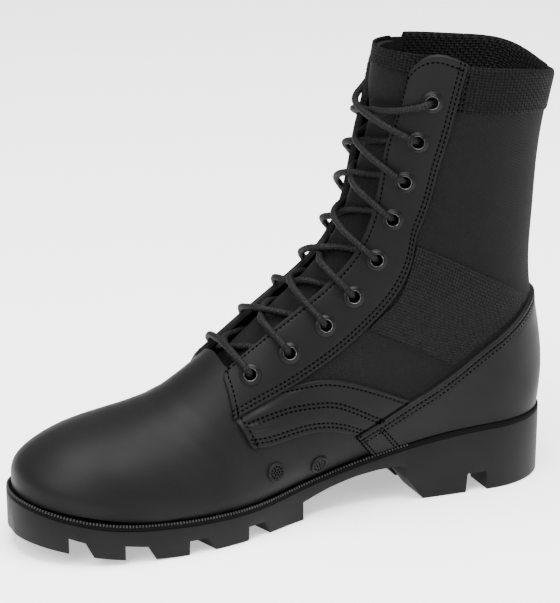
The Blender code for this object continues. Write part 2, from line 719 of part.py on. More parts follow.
def make_counter():
    """The leather heel piece, from one side of the waist round the heel to the other."""
    half_count, levels = 16, 5
    ways = np.linspace(-1, 1, 2 * half_count + 1)
    spread = np.hypot(ways, COUNTER_SPREAD) - COUNTER_SPREAD
    spread /= spread[-1]
    top_end = COUNTER_TOP[-1][0] * SOLE_LENGTH - last.corner_x
    low_end = COUNTER_LOW_RUN * SOLE_LENGTH - last.corner_x
    grid = []
    for level in np.linspace(0, 1, levels + 1):
        reach = (low_end + (top_end - low_end) * level) * spread
        top_x = last.corner_x + top_end * spread
        for _ in range(4):
            top_z = seat_height(top_x) + counter_top(top_x / SOLE_LENGTH) * SHAFT_HEIGHT
            top_x = last.back(top_z) + top_end * spread
        low_z = seat_height(low_end * spread) + 2 * CLEARANCE
        z = low_z + (top_z - low_z) * level
        grid.append(last.from_side(last.back(z) + reach, z, ways > 0))
    points = [tuple(point) for row in grid for point in row]
    return wall("heel_counter", points, grid_faces(levels + 1, len(ways)), LEATHER, OVERLAY_LIFT, LEATHER_WALL)


def make_panel(name, table, lateral, finish, thickness, long_count, cross_count):
    """An overlay between two edges of a table, seen from the side."""
    shares = np.linspace(0, 1, long_count + 1)
    run_a, rise_a, run_b, rise_b = (table_spline(table, PANEL_COLUMNS, "share", key)(shares)
                                    for key in PANEL_COLUMNS[1:])
    grid = []
    for cross in np.linspace(0, 1, cross_count + 1):
        x = (run_a + (run_b - run_a) * cross) * SOLE_LENGTH
        z = seat_height(x) + (rise_a + (rise_b - rise_a) * cross) * SHAFT_HEIGHT
        grid.append(last.from_side(x, z, lateral))
    points = [tuple(point) for row in grid for point in row]
    return wall(name, points, grid_faces(cross_count + 1, long_count + 1), finish, OVERLAY_LIFT, thickness)


def make_eyestay(name, side):
    """The leather facing along one side of the throat, with a rounded top and front end."""
    long_count, cross_count = 22, 4
    grid = []
    for cross in np.linspace(0, 1, cross_count + 1):
        front = EYESTAY_FRONT - EYESTAY_FRONT_SWEEP * cross ** 1.5
        top = TOP_SECTION - EYESTAY_TOP_DROP - EYESTAY_TOP_ROUND * max(0, 1 - 2 * cross) ** 2
        u = front + (top - front) * np.linspace(0, 1, long_count + 1)
        edge = last.throat_edge(u)
        grid.append(last.at(u, side * (edge + (eyestay_edge(u) - edge) * cross)))
    points = [tuple(point) for row in grid for point in row]
    return wall(name, points, grid_faces(cross_count + 1, long_count + 1), LEATHER, OVERLAY_LIFT, LEATHER_WALL)


def make_collar_band():
    """The webbing bound round the collar, from one eyestay to the other."""
    side_count, levels = 9, 3
    ways = COLLAR_BAND_FRONT + (1 - COLLAR_BAND_FRONT) * np.linspace(0, 1, side_count + 1)
    ways = np.concatenate([-ways, ways[:-1][::-1]])
    turn = ease((np.abs(ways) - COLLAR_BAND_FRONT) / (1 - COLLAR_BAND_FRONT))
    low = COLLAR_BAND_LOW_FRONT + (COLLAR_BAND_LOW_BACK - COLLAR_BAND_LOW_FRONT) * turn
    grid = [last.at(low + (COLLAR_SECTION - low) * level, ways) for level in np.linspace(0, 1, levels + 1)]
    points = [tuple(point) for row in grid for point in row]
    return wall("collar_band", points, grid_faces(levels + 1, len(ways)), WEBBING, OVERLAY_LIFT, WEBBING_WALL)


def turned(name, profile, steps, finish, place, normal, group=None):
    """A turned piece on its axis: profile rows are radius and height, outer side first."""
    mesh = bpy.data.meshes.new(name)
    work = bmesh.new()
    corners = [work.verts.new((radius, 0, height)) for radius, height in profile]
    for i in range(len(corners)):
        work.edges.new((corners[i], corners[(i + 1) % len(corners)]))
    bmesh.ops.spin(work, geom=work.verts[:] + work.edges[:], cent=(0, 0, 0), axis=(0, 0, 1),
                   angle=2 * math.pi, steps=steps, use_merge=True)
    bmesh.ops.remove_doubles(work, verts=work.verts, dist=MERGE)
    bmesh.ops.recalc_face_normals(work, faces=work.faces)
    work.to_mesh(mesh)
    work.free()
    mesh.shade_smooth()
    mesh.set_sharp_from_angle(angle=math.radians(SMOOTH_ANGLE))
    made = add_object(name, mesh, finish, group)
    made.location = Vector(place)
    made.rotation_euler = Vector(normal).to_track_quat("Z", "Y").to_euler()
    return made


def disc(name, diameter, thickness, steps, place, normal, finish=None, group=None):
    mesh = bpy.data.meshes.new(name)
    work = bmesh.new()
    bmesh.ops.create_cone(work, cap_ends=True, segments=steps, radius1=diameter / 2, radius2=diameter / 2,
                          depth=thickness)
    work.to_mesh(mesh)
    work.free()
    made = add_object(name, mesh, finish, group)
    made.location = Vector(place)
    made.rotation_euler = Vector(normal).to_track_quat("Z", "Y").to_euler()
    return made


def eyelet_place(index, side):
    section, way = EYELET_TABLE[index]
    return last.at(section, side * way), last.normal(section, side * way)


def make_eyelets(side, side_name, walls):
    """Nine flanged eyelets and the holes that they sit in."""
    seat = OVERLAY_LIFT + LEATHER_WALL + CLEARANCE
    back = -UPPER_WALL - CLEARANCE
    outer, barrel, bore = EYELET_FLANGE / 2, EYELET_BARREL / 2, EYELET_BORE / 2
    profile = [(bore, seat + EYELET_LIP), (outer, seat + 0.3 * EYELET_LIP), (barrel, seat), (barrel, back),
               (bore, back)]
    for i in range(len(EYELET_TABLE)):
        place, normal = eyelet_place(i, side)
        turned(f"eyelet_{side_name}_{i + 1}", profile, 8, ENAMEL, place, normal)
        cutter = disc(f"hole_{side_name}_{i + 1}", EYELET_BARREL + 3 * CLEARANCE, 0.1 * BALL_WIDTH, 8,
                      place, normal, group=cutters)
        cutter.parent = root
        for piece in walls:
            combine(piece, as_cutter(cutter), "DIFFERENCE")


def make_vents():
    for i, (section, way) in enumerate(VENT_TABLE):
        place, normal = last.at(section, -way), last.normal(section, -way)
        lift = OVERLAY_LIFT + VENT_THICKNESS / 2
        disc(f"vent_{i + 1}", VENT_DIAMETER, VENT_THICKNESS, 16, place + normal * lift, normal, LEATHER)


def cord(name, route, finish=None, group=None):
    """A round cord along a route, made a mesh so that it can be joined."""
    curve = bpy.data.curves.new(name, "CURVE")
    curve.dimensions = "3D"
    curve.bevel_depth = LACE_DIAMETER / 2
    curve.bevel_resolution = 1
    curve.use_fill_caps = True
    line = curve.splines.new("POLY")
    line.points.add(len(route) - 1)
    for point, place in zip(line.points, route):
        point.co = (*place, 1)
    guide = bpy.data.objects.new(name + "_guide", curve)
    boot.objects.link(guide)
    bpy.context.view_layer.update()
    mesh = bpy.data.meshes.new_from_object(guide.evaluated_get(bpy.context.evaluated_depsgraph_get()))
    bpy.data.objects.remove(guide)
    work = bmesh.new()
    work.from_mesh(mesh)
    bmesh.ops.remove_doubles(work, verts=work.verts, dist=MERGE)
    bmesh.ops.recalc_face_normals(work, faces=work.faces)
    work.to_mesh(mesh)
    work.free()
    mesh.name = name
    mesh.materials.clear()
    mesh.shade_smooth()
    made = add_object(name, mesh, finish, group)
    made.parent = root
    return made


def lace_route(start, end, stops, count):
    """A line over the form from start to end, both u and v, that keeps to the heights in stops: each is
    a share of the way and a height over the form."""
    curve = spline([share for share, _ in stops], [height for _, height in stops])
    route = []
    for share in np.linspace(0, stops[-1][0], count):
        u, v = np.array(start) + (np.array(end) - start) * share
        route.append(last.at(u, v) + last.normal(u, v) * float(curve(share)))
    return route


def crossing_route(index, side, ends_over):
    """From the top of one eyelet across the throat to the next pair's other side."""
    over = OVERLAY_LIFT + LEATHER_WALL + EYELET_LIP + 3 * CLEARANCE + LACE_DIAMETER / 2
    resting = OVERLAY_LIFT + LEATHER_WALL + CLEARANCE + LACE_DIAMETER / 2
    beneath = -UPPER_WALL - CLEARANCE - LACE_DIAMETER / 2
    stops = [(0.0, over), (0.16, over), (0.30, resting), (0.50, beneath + 4 * CLEARANCE)]
    if ends_over:
        stops += [(0.70, resting), (0.84, over), (1.0, over)]
    else:
        stops += [(0.66, beneath + CLEARANCE), (0.86, beneath)]
    (section, way), (next_section, next_way) = EYELET_TABLE[index], EYELET_TABLE[index + 1]
    return lace_route((section, side * way), (next_section, -side * next_way), stops, 9)


def make_laces():
    """Each crossing is two cords joined where they meet. The last one ends in the top eyelets."""
    count = len(EYELET_TABLE)
    for i in range(count - 1):
        ends_over = i == count - 2
        crossing = cord(f"lace_crossing_{i + 1}", crossing_route(i, -1, ends_over), CORD)
        other = cord(f"lace_other_{i + 1}", crossing_route(i, 1, ends_over), group=cutters)
        combine(crossing, as_cutter(other), "UNION")


def settle():
    """Puts the origin on the floor, under the middle of the boot's box."""
    bpy.context.view_layer.update()
    graph = bpy.context.evaluated_depsgraph_get()
    corners = []
    for piece in boot.objects:
        if piece.type != "MESH":
            continue
        made = piece.evaluated_get(graph)
        corners += [made.matrix_world @ corner.co for corner in made.data.vertices]
    low = [min(corner[axis] for corner in corners) for axis in range(3)]
    high = [max(corner[axis] for corner in corners) for axis in range(3)]
    root.location = (-(low[0] + high[0]) / 2, -(low[1] + high[1]) / 2, -low[2])
    bpy.context.view_layer.update()


def main():
    make_outsole()
    make_welt()
    make_insole()
    upper = make_upper()
    make_tongue()
    make_counter()
    for side, side_name in ((-1, "medial"), (1, "lateral")):
        lateral = side > 0
        make_panel(f"quarter_{side_name}", QUARTER_TABLE, lateral, LEATHER, LEATHER_WALL, 10, 4)
        make_panel(f"ankle_webbing_{side_name}", WEBBING_TABLE, lateral, WEBBING, WEBBING_WALL, 7, 6)
        eyestay = make_eyestay(f"eyestay_{side_name}", side)
        make_eyelets(side, side_name, (eyestay, upper))
    make_collar_band()
    make_vents()
    make_laces()
    for cutter in cutters.objects:
        cutter.parent = root
    settle()


main()
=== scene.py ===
import math

import bmesh
import bpy
import numpy as np
from mathutils import Matrix, Vector


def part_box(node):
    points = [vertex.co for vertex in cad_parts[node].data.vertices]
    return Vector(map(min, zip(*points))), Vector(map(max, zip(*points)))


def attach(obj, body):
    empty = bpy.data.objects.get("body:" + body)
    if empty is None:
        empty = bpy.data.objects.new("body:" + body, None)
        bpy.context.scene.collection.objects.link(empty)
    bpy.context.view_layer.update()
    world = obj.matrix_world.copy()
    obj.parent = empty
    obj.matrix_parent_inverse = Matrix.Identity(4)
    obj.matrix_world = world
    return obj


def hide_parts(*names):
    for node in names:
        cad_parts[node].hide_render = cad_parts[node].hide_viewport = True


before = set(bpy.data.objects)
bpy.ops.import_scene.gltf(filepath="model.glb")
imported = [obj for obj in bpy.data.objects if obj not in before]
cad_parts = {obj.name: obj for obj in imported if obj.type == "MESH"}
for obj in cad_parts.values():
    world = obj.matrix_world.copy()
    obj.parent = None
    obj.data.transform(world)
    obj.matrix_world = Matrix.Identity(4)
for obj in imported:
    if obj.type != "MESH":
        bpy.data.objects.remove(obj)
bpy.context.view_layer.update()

mm = 0.001

# Looks of a right jungle boot: black leather and nylon, a moulded lug sole, webbing and a round lace.
# The toe points along +X and the inner side of the foot is +Y. The form repeats the solids' own.

boot = {
    "soleLength": 309 * mm,
    "ballWidth": 108 * mm,
    "heelHeight": 39 * mm,
    "ballThickness": 18.5 * mm,
    "toeSpring": 12.5 * mm,
    "shaftHeight": 187 * mm,
    "weltWidth": 3 * mm,
    "weltThickness": 2.6 * mm,
    "throatGap": 37 * mm,
    "throatFlare": 9 * mm,
    "turnSection": 7,
    "turnSections": 4,
    "heelSection": 11,
    "throatSection": 5.8,
    "flareSection": 12.5,
    "collarSection": 14.87,
    "topSection": 15,
    "heelCorner": 0.36,
    "collarCorner": 0.50,
}

# place, heel, toe and tread: shares of soleLength, of heelHeight over ballThickness and of toeSpring
seatRows = (
    (-0.04, 1.00, 0.00, 0.00),
    (0.10, 1.00, 0.00, 0.00),
    (0.22, 0.90, 0.00, 0.00),
    (0.34, 0.60, 0.00, 0.00),
    (0.46, 0.22, 0.00, 0.00),
    (0.56, 0.03, 0.00, 0.00),
    (0.68, 0.00, 0.02, 0.00),
    (0.78, 0.00, 0.12, 0.04),
    (0.86, 0.00, 0.31, 0.25),
    (0.94, 0.00, 0.67, 0.56),
    (1.00, 0.00, 1.06, 0.81),
)

# The sections from toe to collar: runs in shares of soleLength, rises and bow of shaftHeight, widths of
# ballWidth, the widest place and the fullness over it
sectionNames = ("lowRun", "lowRise", "topRun", "topRise", "bow", "centre", "medial", "lateral",
                "medialSeat", "lateralSeat", "peak", "power")
sectionRows = (
    (0.798, 0.000, 0.990, 0.000, 0.000, 0.061, 0.392, 0.456, 0.392, 0.456, 0.02, 1.96),
    (0.773, 0.000, 0.988, 0.062, 0.000, 0.057, 0.406, 0.466, 0.397, 0.462, 0.06, 2.10),
    (0.742, 0.000, 0.960, 0.121, 0.000, 0.049, 0.420, 0.480, 0.407, 0.470, 0.10, 2.12),
    (0.707, 0.000, 0.896, 0.189, 0.000, 0.041, 0.432, 0.486, 0.410, 0.474, 0.14, 2.10),
    (0.657, 0.000, 0.809, 0.233, 0.000, 0.030, 0.426, 0.484, 0.402, 0.466, 0.18, 2.12),
    (0.591, 0.000, 0.719, 0.279, 0.000, 0.022, 0.398, 0.462, 0.358, 0.438, 0.21, 2.10),
    (0.510, 0.000, 0.634, 0.374, 0.000, 0.016, 0.356, 0.424, 0.276, 0.390, 0.24, 2.05),
    (0.414, 0.000, 0.556, 0.478, 0.000, 0.010, 0.330, 0.382, 0.240, 0.340, 0.27, 2.00),
    (0.303, 0.000, 0.486, 0.560, 0.000, 0.004, 0.320, 0.352, 0.262, 0.300, 0.30, 2.00),
    (0.182, 0.000, 0.430, 0.633, 0.000, 0.000, 0.316, 0.338, 0.288, 0.294, 0.33, 2.00),
    (0.076, 0.000, 0.401, 0.710, 0.000, 0.000, 0.324, 0.334, 0.296, 0.298, 0.36, 2.00),
    (0.000, 0.000, 0.382, 0.792, 0.000, 0.000, 0.333, 0.338, 0.300, 0.300, 0.40, 2.00),
    (0.000, 0.200, 0.366, 0.868, 0.000, 0.000, 0.338, 0.342, 0.300, 0.300, 0.43, 2.00),
    (0.000, 0.440, 0.351, 0.942, 0.005, 0.000, 0.343, 0.347, 0.300, 0.300, 0.46, 2.00),
    (0.000, 0.710, 0.336, 1.023, 0.014, 0.000, 0.352, 0.354, 0.300, 0.300, 0.48, 2.00),
    (0.000, 1.035, 0.318, 1.170, 0.028, 0.000, 0.362, 0.362, 0.300, 0.300, 0.50, 2.00),
)
backRows = (
    (-0.20, 0.016),
    (0.00, 0.010),
    (0.10, 0.004),
    (0.20, 0.007),
    (0.32, 0.019),
    (0.44, 0.027),
    (0.60, 0.023),
    (0.78, 0.015),
    (0.90, 0.003),
    (1.00, -0.011),
    (1.10, -0.024),
)


def spline(knots, values):
    knots = np.asarray(knots, float)
    values = np.asarray(values, float)
    count = len(knots)
    step = np.diff(knots)
    rows = np.eye(count)
    right = np.zeros(count)
    for i in range(1, count - 1):
        rows[i, i - 1:i + 2] = step[i - 1], 2 * (step[i - 1] + step[i]), step[i]
        right[i] = 6 * ((values[i + 1] - values[i]) / step[i] - (values[i] - values[i - 1]) / step[i - 1])
    bend = np.linalg.solve(rows, right)

    def curve(place):
        place = np.clip(place, knots[0], knots[-1])
        i = np.clip(np.searchsorted(knots, place, side="right") - 1, 0, count - 2)
        after = place - knots[i]
        before = knots[i + 1] - place
        span = step[i]
        return ((bend[i] * before ** 3 + bend[i + 1] * after ** 3) / (6 * span)
                + (values[i] / span - bend[i] * span / 6) * before
                + (values[i + 1] / span - bend[i + 1] * span / 6) * after)
    return curve


def tableCurve(rows, column):
    return spline([row[0] for row in rows], [row[column] for row in rows])


def ease(t):
    t = np.clip(t, 0, 1)
    return t * t * (3 - 2 * t)


def ridge(x, place, width):
    return np.exp(-((x - place) / width) ** 2)


heelShare, toeShare, treadShare = (tableCurve(seatRows, column) for column in (1, 2, 3))


def seatHeight(x):
    share = np.asarray(x) / boot["soleLength"]
    return (boot["ballThickness"] + (boot["heelHeight"] - boot["ballThickness"]) * heelShare(share)
            + boot["toeSpring"] * toeShare(share))


def treadHeight(x):
    return boot["toeSpring"] * np.maximum(treadShare(np.asarray(x) / boot["soleLength"]), 0)


halvings = 40  # steps of each bisection below


class BootForm:
    # u counts the sections from toe to collar; v runs over a section, -1 on the medial edge, 1 on the lateral

    def __init__(self):
        rows = np.arange(len(sectionRows))
        length, width, shaft = boot["soleLength"], boot["ballWidth"], boot["shaftHeight"]
        col = {name: np.array([row[i] for row in sectionRows]) for i, name in enumerate(sectionNames)}
        self.back = spline(boot["heelHeight"] + shaft * np.array([row[0] for row in backRows]),
                           length * np.array([row[1] for row in backRows]))
        self.cornerX = float(self.back(boot["heelHeight"]))
        heel = boot["heelSection"]
        low = col["lowRun"][:heel + 1] * length
        low[-1] = self.cornerX
        self.lowX = spline(np.arange(heel + 2), np.append(low, low[-2]))
        self.lowRise = spline(rows[heel:], col["lowRise"][heel:] * shaft)
        self.topX = spline(rows, col["topRun"] * length)
        self.topZ = spline(rows, seatHeight(col["topRun"] * length) + col["topRise"] * shaft)
        self.bow = spline(rows, col["bow"] * shaft)
        self.centre = spline(rows, col["centre"] * width)
        self.side = {key: spline(rows, col[key] * width)
                     for key in ("medial", "lateral", "medialSeat", "lateralSeat")}
        self.peak = spline(rows, col["peak"])
        self.power = spline(rows, col["power"])

    def lowEnd(self, u):
        heel = boot["heelSection"]
        seatX = self.lowX(np.minimum(u, heel))
        height = seatHeight(self.cornerX) + self.lowRise(np.maximum(u, heel))
        return np.where(u <= heel, seatX, self.back(height)), np.where(u <= heel, seatHeight(seatX), height)

    def line(self, u, share):
        lowX, lowZ = self.lowEnd(u)
        x = lowX + share * (self.topX(u) - lowX)
        z = lowZ + share * (self.topZ(u) - lowZ) + self.bow(u) * 4 * share * (1 - share)
        return x, z

    def share(self, u, v):
        # The spacing round a section changes from the foot's to the shaft's
        turn = ease((u - boot["turnSection"]) / boot["turnSections"])
        reach = np.abs(v)
        return (1 - turn) * np.cos(reach * math.pi / 2) + turn * (1 + np.cos(reach * math.pi)) / 2

    def point(self, u, share, lateral):
        x, z = self.line(u, share)
        width = np.where(lateral, self.side["lateral"](u), self.side["medial"](u))
        seatWidth = np.where(lateral, self.side["lateralSeat"](u), self.side["medialSeat"](u))
        peak = self.peak(u)
        over = np.clip((share - peak) / (1 - peak), 0, 1)
        under = np.clip((peak - share) / peak, 0, 1)
        form = np.where(share >= peak, np.sqrt(np.clip(1 - over ** self.power(u), 0, 1)),
                        1 - (1 - seatWidth / width) * under ** 2)
        rise = np.clip((z - boot["heelHeight"]) / boot["shaftHeight"], 0, 1)
        corner = (boot["heelCorner"] + (boot["collarCorner"] - boot["heelCorner"]) * rise) * boot["ballWidth"]
        inward = np.where(u > boot["throatSection"], np.clip((x - self.back(z)) / corner, 0, 1), 1)
        y = self.centre(u) + np.where(lateral, -1, 1) * width * form * np.sqrt(1 - (1 - inward) ** 2)
        return np.stack([x, y, z], -1)

    def at(self, u, v):
        u, v = np.broadcast_arrays(np.asarray(u, float), np.asarray(v, float))
        wrapped = np.where((u > boot["heelSection"]) & (np.abs(v) > 1), v - 2 * np.sign(v), v)
        return self.point(u, self.share(u, wrapped), wrapped > 0)

    def fromSide(self, x, z, lateral):
        x, z, lateral = np.broadcast_arrays(np.asarray(x, float), np.asarray(z, float), lateral)
        low, high = np.zeros(x.shape), np.full(x.shape, float(boot["topSection"]))
        for _ in range(halvings):
            u = (low + high) / 2
            lowX = self.lowEnd(u)[0]
            share = np.clip((x - lowX) / (self.topX(u) - lowX), 0, 1)
            over = z > self.line(u, share)[1]
            low, high = np.where(over, u, low), np.where(over, high, u)
        # v comes back from the share by bisection too
        nearV, farV = np.zeros(x.shape), np.ones(x.shape)
        for _ in range(halvings):
            v = (nearV + farV) / 2
            inside = self.share(u, v) > share
            nearV, farV = np.where(inside, v, nearV), np.where(inside, farV, v)
        return u, np.where(lateral, v, -v)

    def normal(self, u, v):
        step = 0.01
        along = self.at(u + step, v) - self.at(u - step, v)
        across = self.at(u, v + step) - self.at(u, v - step)
        out = np.cross(along, across)
        return out / np.maximum(np.linalg.norm(out, axis=-1, keepdims=True), 1e-12)

    def wayAt(self, u, reach):
        low, high = np.zeros(np.shape(u)), np.full(np.shape(u), 0.6)
        for _ in range(halvings):
            v = (low + high) / 2
            wide = np.abs(self.at(u, v)[..., 1] - self.centre(u)) > reach
            low, high = np.where(wide, low, v), np.where(wide, v, high)
        return v

    def throatEdge(self, u):
        u = np.asarray(u, float)
        flare = ease((u - boot["flareSection"]) / (boot["topSection"] - boot["flareSection"]))
        return self.wayAt(u, (boot["throatGap"] + boot["throatFlare"] * flare) / 2)


form = BootForm()


def featherLine(count):
    u = boot["heelSection"] * (1 + np.cos(np.linspace(0, math.pi, 400))) / 2
    toe = form.at(0, np.linspace(-1, 1, 400)[1:-1])
    loop = np.concatenate([form.at(u, -1), toe, form.at(u[::-1], 1)])
    way = np.append(0, np.cumsum(np.linalg.norm(np.diff(loop, axis=0), axis=1)))
    even = np.linspace(0, way[-1], count, endpoint=False)
    return np.column_stack([np.interp(even, way, loop[:, axis]) for axis in range(3)])


def offsetLoop(loop, distance):
    ahead = np.roll(loop[:, :2], -1, 0) - np.roll(loop[:, :2], 1, 0)
    ahead /= np.linalg.norm(ahead, axis=1)[:, None]
    return loop[:, :2] + distance * np.column_stack([-ahead[:, 1], ahead[:, 0]])


# The form's own frame starts at the heel's back; the welt's box says where that lies in the shared frame
weltLow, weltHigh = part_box("welt")
weltPlan = offsetLoop(featherLine(400), boot["weltWidth"])[::5]
shift = np.array([(weltLow.x + weltHigh.x - weltPlan[:, 0].min() - weltPlan[:, 0].max()) / 2,
                  (weltLow.y + weltHigh.y - weltPlan[:, 1].min() - weltPlan[:, 1].max()) / 2, 0.0])
print("form placed at", np.round(shift / mm, 2), "mm")


def onForm(u, v, height=0.0):
    u, v = np.broadcast_arrays(np.asarray(u, float), np.asarray(v, float))
    height = np.broadcast_to(height, u.shape)
    return form.at(u, v) + form.normal(u, v) * height[..., None] + shift


def hexColour(code):
    parts = [int(code[i:i + 2], 16) / 255 for i in (1, 3, 5)]
    return (*[p / 12.92 if p <= 0.04045 else ((p + 0.055) / 1.055) ** 2.4 for p in parts], 1.0)


def addNode(tree, kind, inputs=None, **settings):
    node = tree.nodes.new(kind)
    for name, value in settings.items():
        setattr(node, name, value)
    for socket, value in (inputs or {}).items():
        if isinstance(value, bpy.types.NodeSocket):
            tree.links.new(value, node.inputs[socket])
        else:
            node.inputs[socket].default_value = value
    return node


def newFinish(name, **shaderValues):
    made = bpy.data.materials.new(name)
    made.use_nodes = True
    shader = made.node_tree.nodes["Principled BSDF"]
    for socket, value in shaderValues.items():
        shader.inputs[socket.replace("_", " ")].default_value = value
    return made, made.node_tree, shader


def rampOf(tree, factor, stops):
    # stops: place and colour, from low to high
    ramp = addNode(tree, "ShaderNodeValToRGB", {"Fac": factor})
    ramp.color_ramp.elements[0].position, ramp.color_ramp.elements[0].color = stops[0][0], hexColour(stops[0][1])
    ramp.color_ramp.elements[1].position, ramp.color_ramp.elements[1].color = stops[-1][0], hexColour(stops[-1][1])
    for place, code in stops[1:-1]:
        ramp.color_ramp.elements.new(place).color = hexColour(code)
    return ramp.outputs["Color"]


leatherLook = {"light": "#111111", "dark": "#0c0c0c", "roughness": 0.5, "rubbedBy": 0.05, "shine": 0.07,
               "grain": 0.9 * mm, "grainDepth": 0.05 * mm, "patch": 38 * mm}


def makeLeather(name, look):
    # Full-grain cow leather, dyed black and polished: a satin face with fine pebbled grain and faint clouds
    made, tree, shader = newFinish(name, Roughness=look["roughness"], Specular_IOR_Level=look["shine"])
    place = addNode(tree, "ShaderNodeTexCoord").outputs["Object"]
    clouds = addNode(tree, "ShaderNodeTexNoise", {"Vector": place, "Scale": 1 / look["patch"], "Detail": 4.0})
    tint = rampOf(tree, clouds.outputs["Fac"], ((0.30, look["dark"]), (0.72, look["light"])))
    cells = addNode(tree, "ShaderNodeTexVoronoi", {"Vector": place, "Scale": 1 / look["grain"]},
                    feature="SMOOTH_F1")
    pores = addNode(tree, "ShaderNodeTexNoise", {"Vector": place, "Scale": 2 / look["grain"], "Detail": 2.0})
    grain = addNode(tree, "ShaderNodeMath", {0: cells.outputs["Distance"], 1: pores.outputs["Fac"]}, operation="ADD")
    relief = addNode(tree, "ShaderNodeBump", {"Height": grain.outputs[0], "Distance": look["grainDepth"],
                                              "Strength": 0.7})
    rub = addNode(tree, "ShaderNodeMapRange", {"Value": clouds.outputs["Fac"], "From Min": 0.3, "From Max": 0.7,
                                               "To Min": look["roughness"] + look["rubbedBy"],
                                               "To Max": look["roughness"] - look["rubbedBy"]})
    tree.links.new(tint, shader.inputs["Base Color"])
    tree.links.new(rub.outputs[0], shader.inputs["Roughness"])
    tree.links.new(relief.outputs[0], shader.inputs["Normal"])
    return made


waveScale = 0.314159  # a tenth of pi makes the wave texture's bands one unit wide
yarnWaver = {"scale": 160.0, "reach": 0.0003}  # yarns are never quite even


def weavePattern(tree, place, pitchX, pitchY):
    # Plain weave: a rounded warp thread shows in one cell and a weft thread in the next
    size = addNode(tree, "ShaderNodeMapping", {"Vector": place, "Scale": (1 / pitchX, 1 / pitchY, 1)}).outputs[0]
    warp, weft = (addNode(tree, "ShaderNodeTexWave", {"Vector": size, "Scale": waveScale},
                          bands_direction=way).outputs["Fac"] for way in ("X", "Y"))
    cell = addNode(tree, "ShaderNodeTexChecker", {"Vector": size, "Scale": 1.0}).outputs["Fac"]
    return addNode(tree, "ShaderNodeMix", {0: cell, 2: warp, 3: weft}).outputs[0]


def makeWeave(name, look):
    # Nylon yarn in a plain weave, matte; its colour holds painted shade in the gaps between threads and a painted
    # highlight along each thread's top
    made, tree, shader = newFinish(name, Roughness=look["roughness"], Specular_IOR_Level=look["shine"])
    coords = addNode(tree, "ShaderNodeTexCoord")
    waver = addNode(tree, "ShaderNodeTexNoise", {"Vector": coords.outputs["Object"], "Scale": yarnWaver["scale"],
                                                 "Detail": 2.0})
    drift = addNode(tree, "ShaderNodeVectorMath", {0: waver.outputs["Color"],
                                                   1: (yarnWaver["reach"], yarnWaver["reach"], 0.0)},
                    operation="MULTIPLY")
    place = addNode(tree, "ShaderNodeVectorMath", {0: coords.outputs["UV"], 1: drift.outputs[0]}, operation="ADD")
    threads = weavePattern(tree, place.outputs[0], look["pitchX"], look["pitchY"])
    fuzz = addNode(tree, "ShaderNodeTexNoise", {"Vector": coords.outputs["Object"], "Scale": look["fuzz"],
                                                "Detail": 3.0})
    mixed = addNode(tree, "ShaderNodeMath", {0: threads, 1: fuzz.outputs["Fac"]}, operation="MULTIPLY")
    # Painted light: the ramp runs from painted shade in the gaps, through the thread colour, to a painted highlight
    # on the threads' tops
    tint = rampOf(tree, mixed.outputs[0], ((0.10, look["gap"]), (0.24, look["thread"]), (0.50, look["top"])))
    relief = addNode(tree, "ShaderNodeBump", {"Height": threads, "Distance": look["depth"], "Strength": 0.9})
    tree.links.new(tint, shader.inputs["Base Color"])
    tree.links.new(relief.outputs[0], shader.inputs["Normal"])
    return made


# In each weave look, gap is painted shade between the threads and top a painted highlight along their tops
nylonLook = {"pitchX": 1.0 * mm, "pitchY": 1.0 * mm, "depth": 0.2 * mm, "roughness": 0.8,
             "shine": 0.1, "fuzz": 900.0, "gap": "#000000", "thread": "#070707", "top": "#151515"}
webbingLook = {"pitchX": 1.8 * mm, "pitchY": 1.6 * mm, "depth": 0.5 * mm, "roughness": 0.7,
               "shine": 0.08, "fuzz": 500.0, "gap": "#000000", "thread": "#0a0a0a", "top": "#151515"}
bandLook = {"pitchX": 2.2 * mm, "pitchY": 1.5 * mm, "depth": 0.5 * mm, "roughness": 0.75,
            "shine": 0.06, "fuzz": 600.0, "gap": "#000000", "thread": "#080808", "top": "#111111"}
liningLook = {"pitchX": 0.8 * mm, "pitchY": 0.8 * mm, "depth": 0.12 * mm, "roughness": 0.9,
              "shine": 0.1, "fuzz": 800.0, "gap": "#040404", "thread": "#0a0a0a", "top": "#121212"}
cordLook = {"pitchX": 1.5 * mm, "pitchY": 1.2 * mm, "depth": 0.2 * mm, "roughness": 0.6,
            "shine": 0.1, "fuzz": 900.0, "gap": "#010101", "thread": "#090909", "top": "#1a1a1a"}


rubberGrain = {"dustScale": 30.0, "blastScale": 1800.0, "blastDepth": 0.03 * mm}


def makeRubber(name, light, dark, roughness, shine):
    # Moulded rubber: an even dark grey with the mould's fine sandblast and a trace of dust
    made, tree, shader = newFinish(name, Roughness=roughness, Specular_IOR_Level=shine)
    place = addNode(tree, "ShaderNodeTexCoord").outputs["Object"]
    dust = addNode(tree, "ShaderNodeTexNoise", {"Vector": place, "Scale": rubberGrain["dustScale"], "Detail": 6.0,
                                                "Roughness": 0.6})
    tint = rampOf(tree, dust.outputs["Fac"], ((0.35, dark), (0.75, light)))
    blast = addNode(tree, "ShaderNodeTexNoise", {"Vector": place, "Scale": rubberGrain["blastScale"], "Detail": 2.0})
    relief = addNode(tree, "ShaderNodeBump", {"Height": blast.outputs["Fac"], "Distance": rubberGrain["blastDepth"],
                                              "Strength": 0.6})
    tree.links.new(tint, shader.inputs["Base Color"])
    tree.links.new(relief.outputs[0], shader.inputs["Normal"])
    return made


# The enamel's black, and the bright bare metal of the painted glint ring on the eyelets' lip
enamelLook = {"black": "#040404", "glintMetal": "#6a6a6c", "roughness": 0.4, "shine": 0.12, "glintBreakupScale": 700.0}


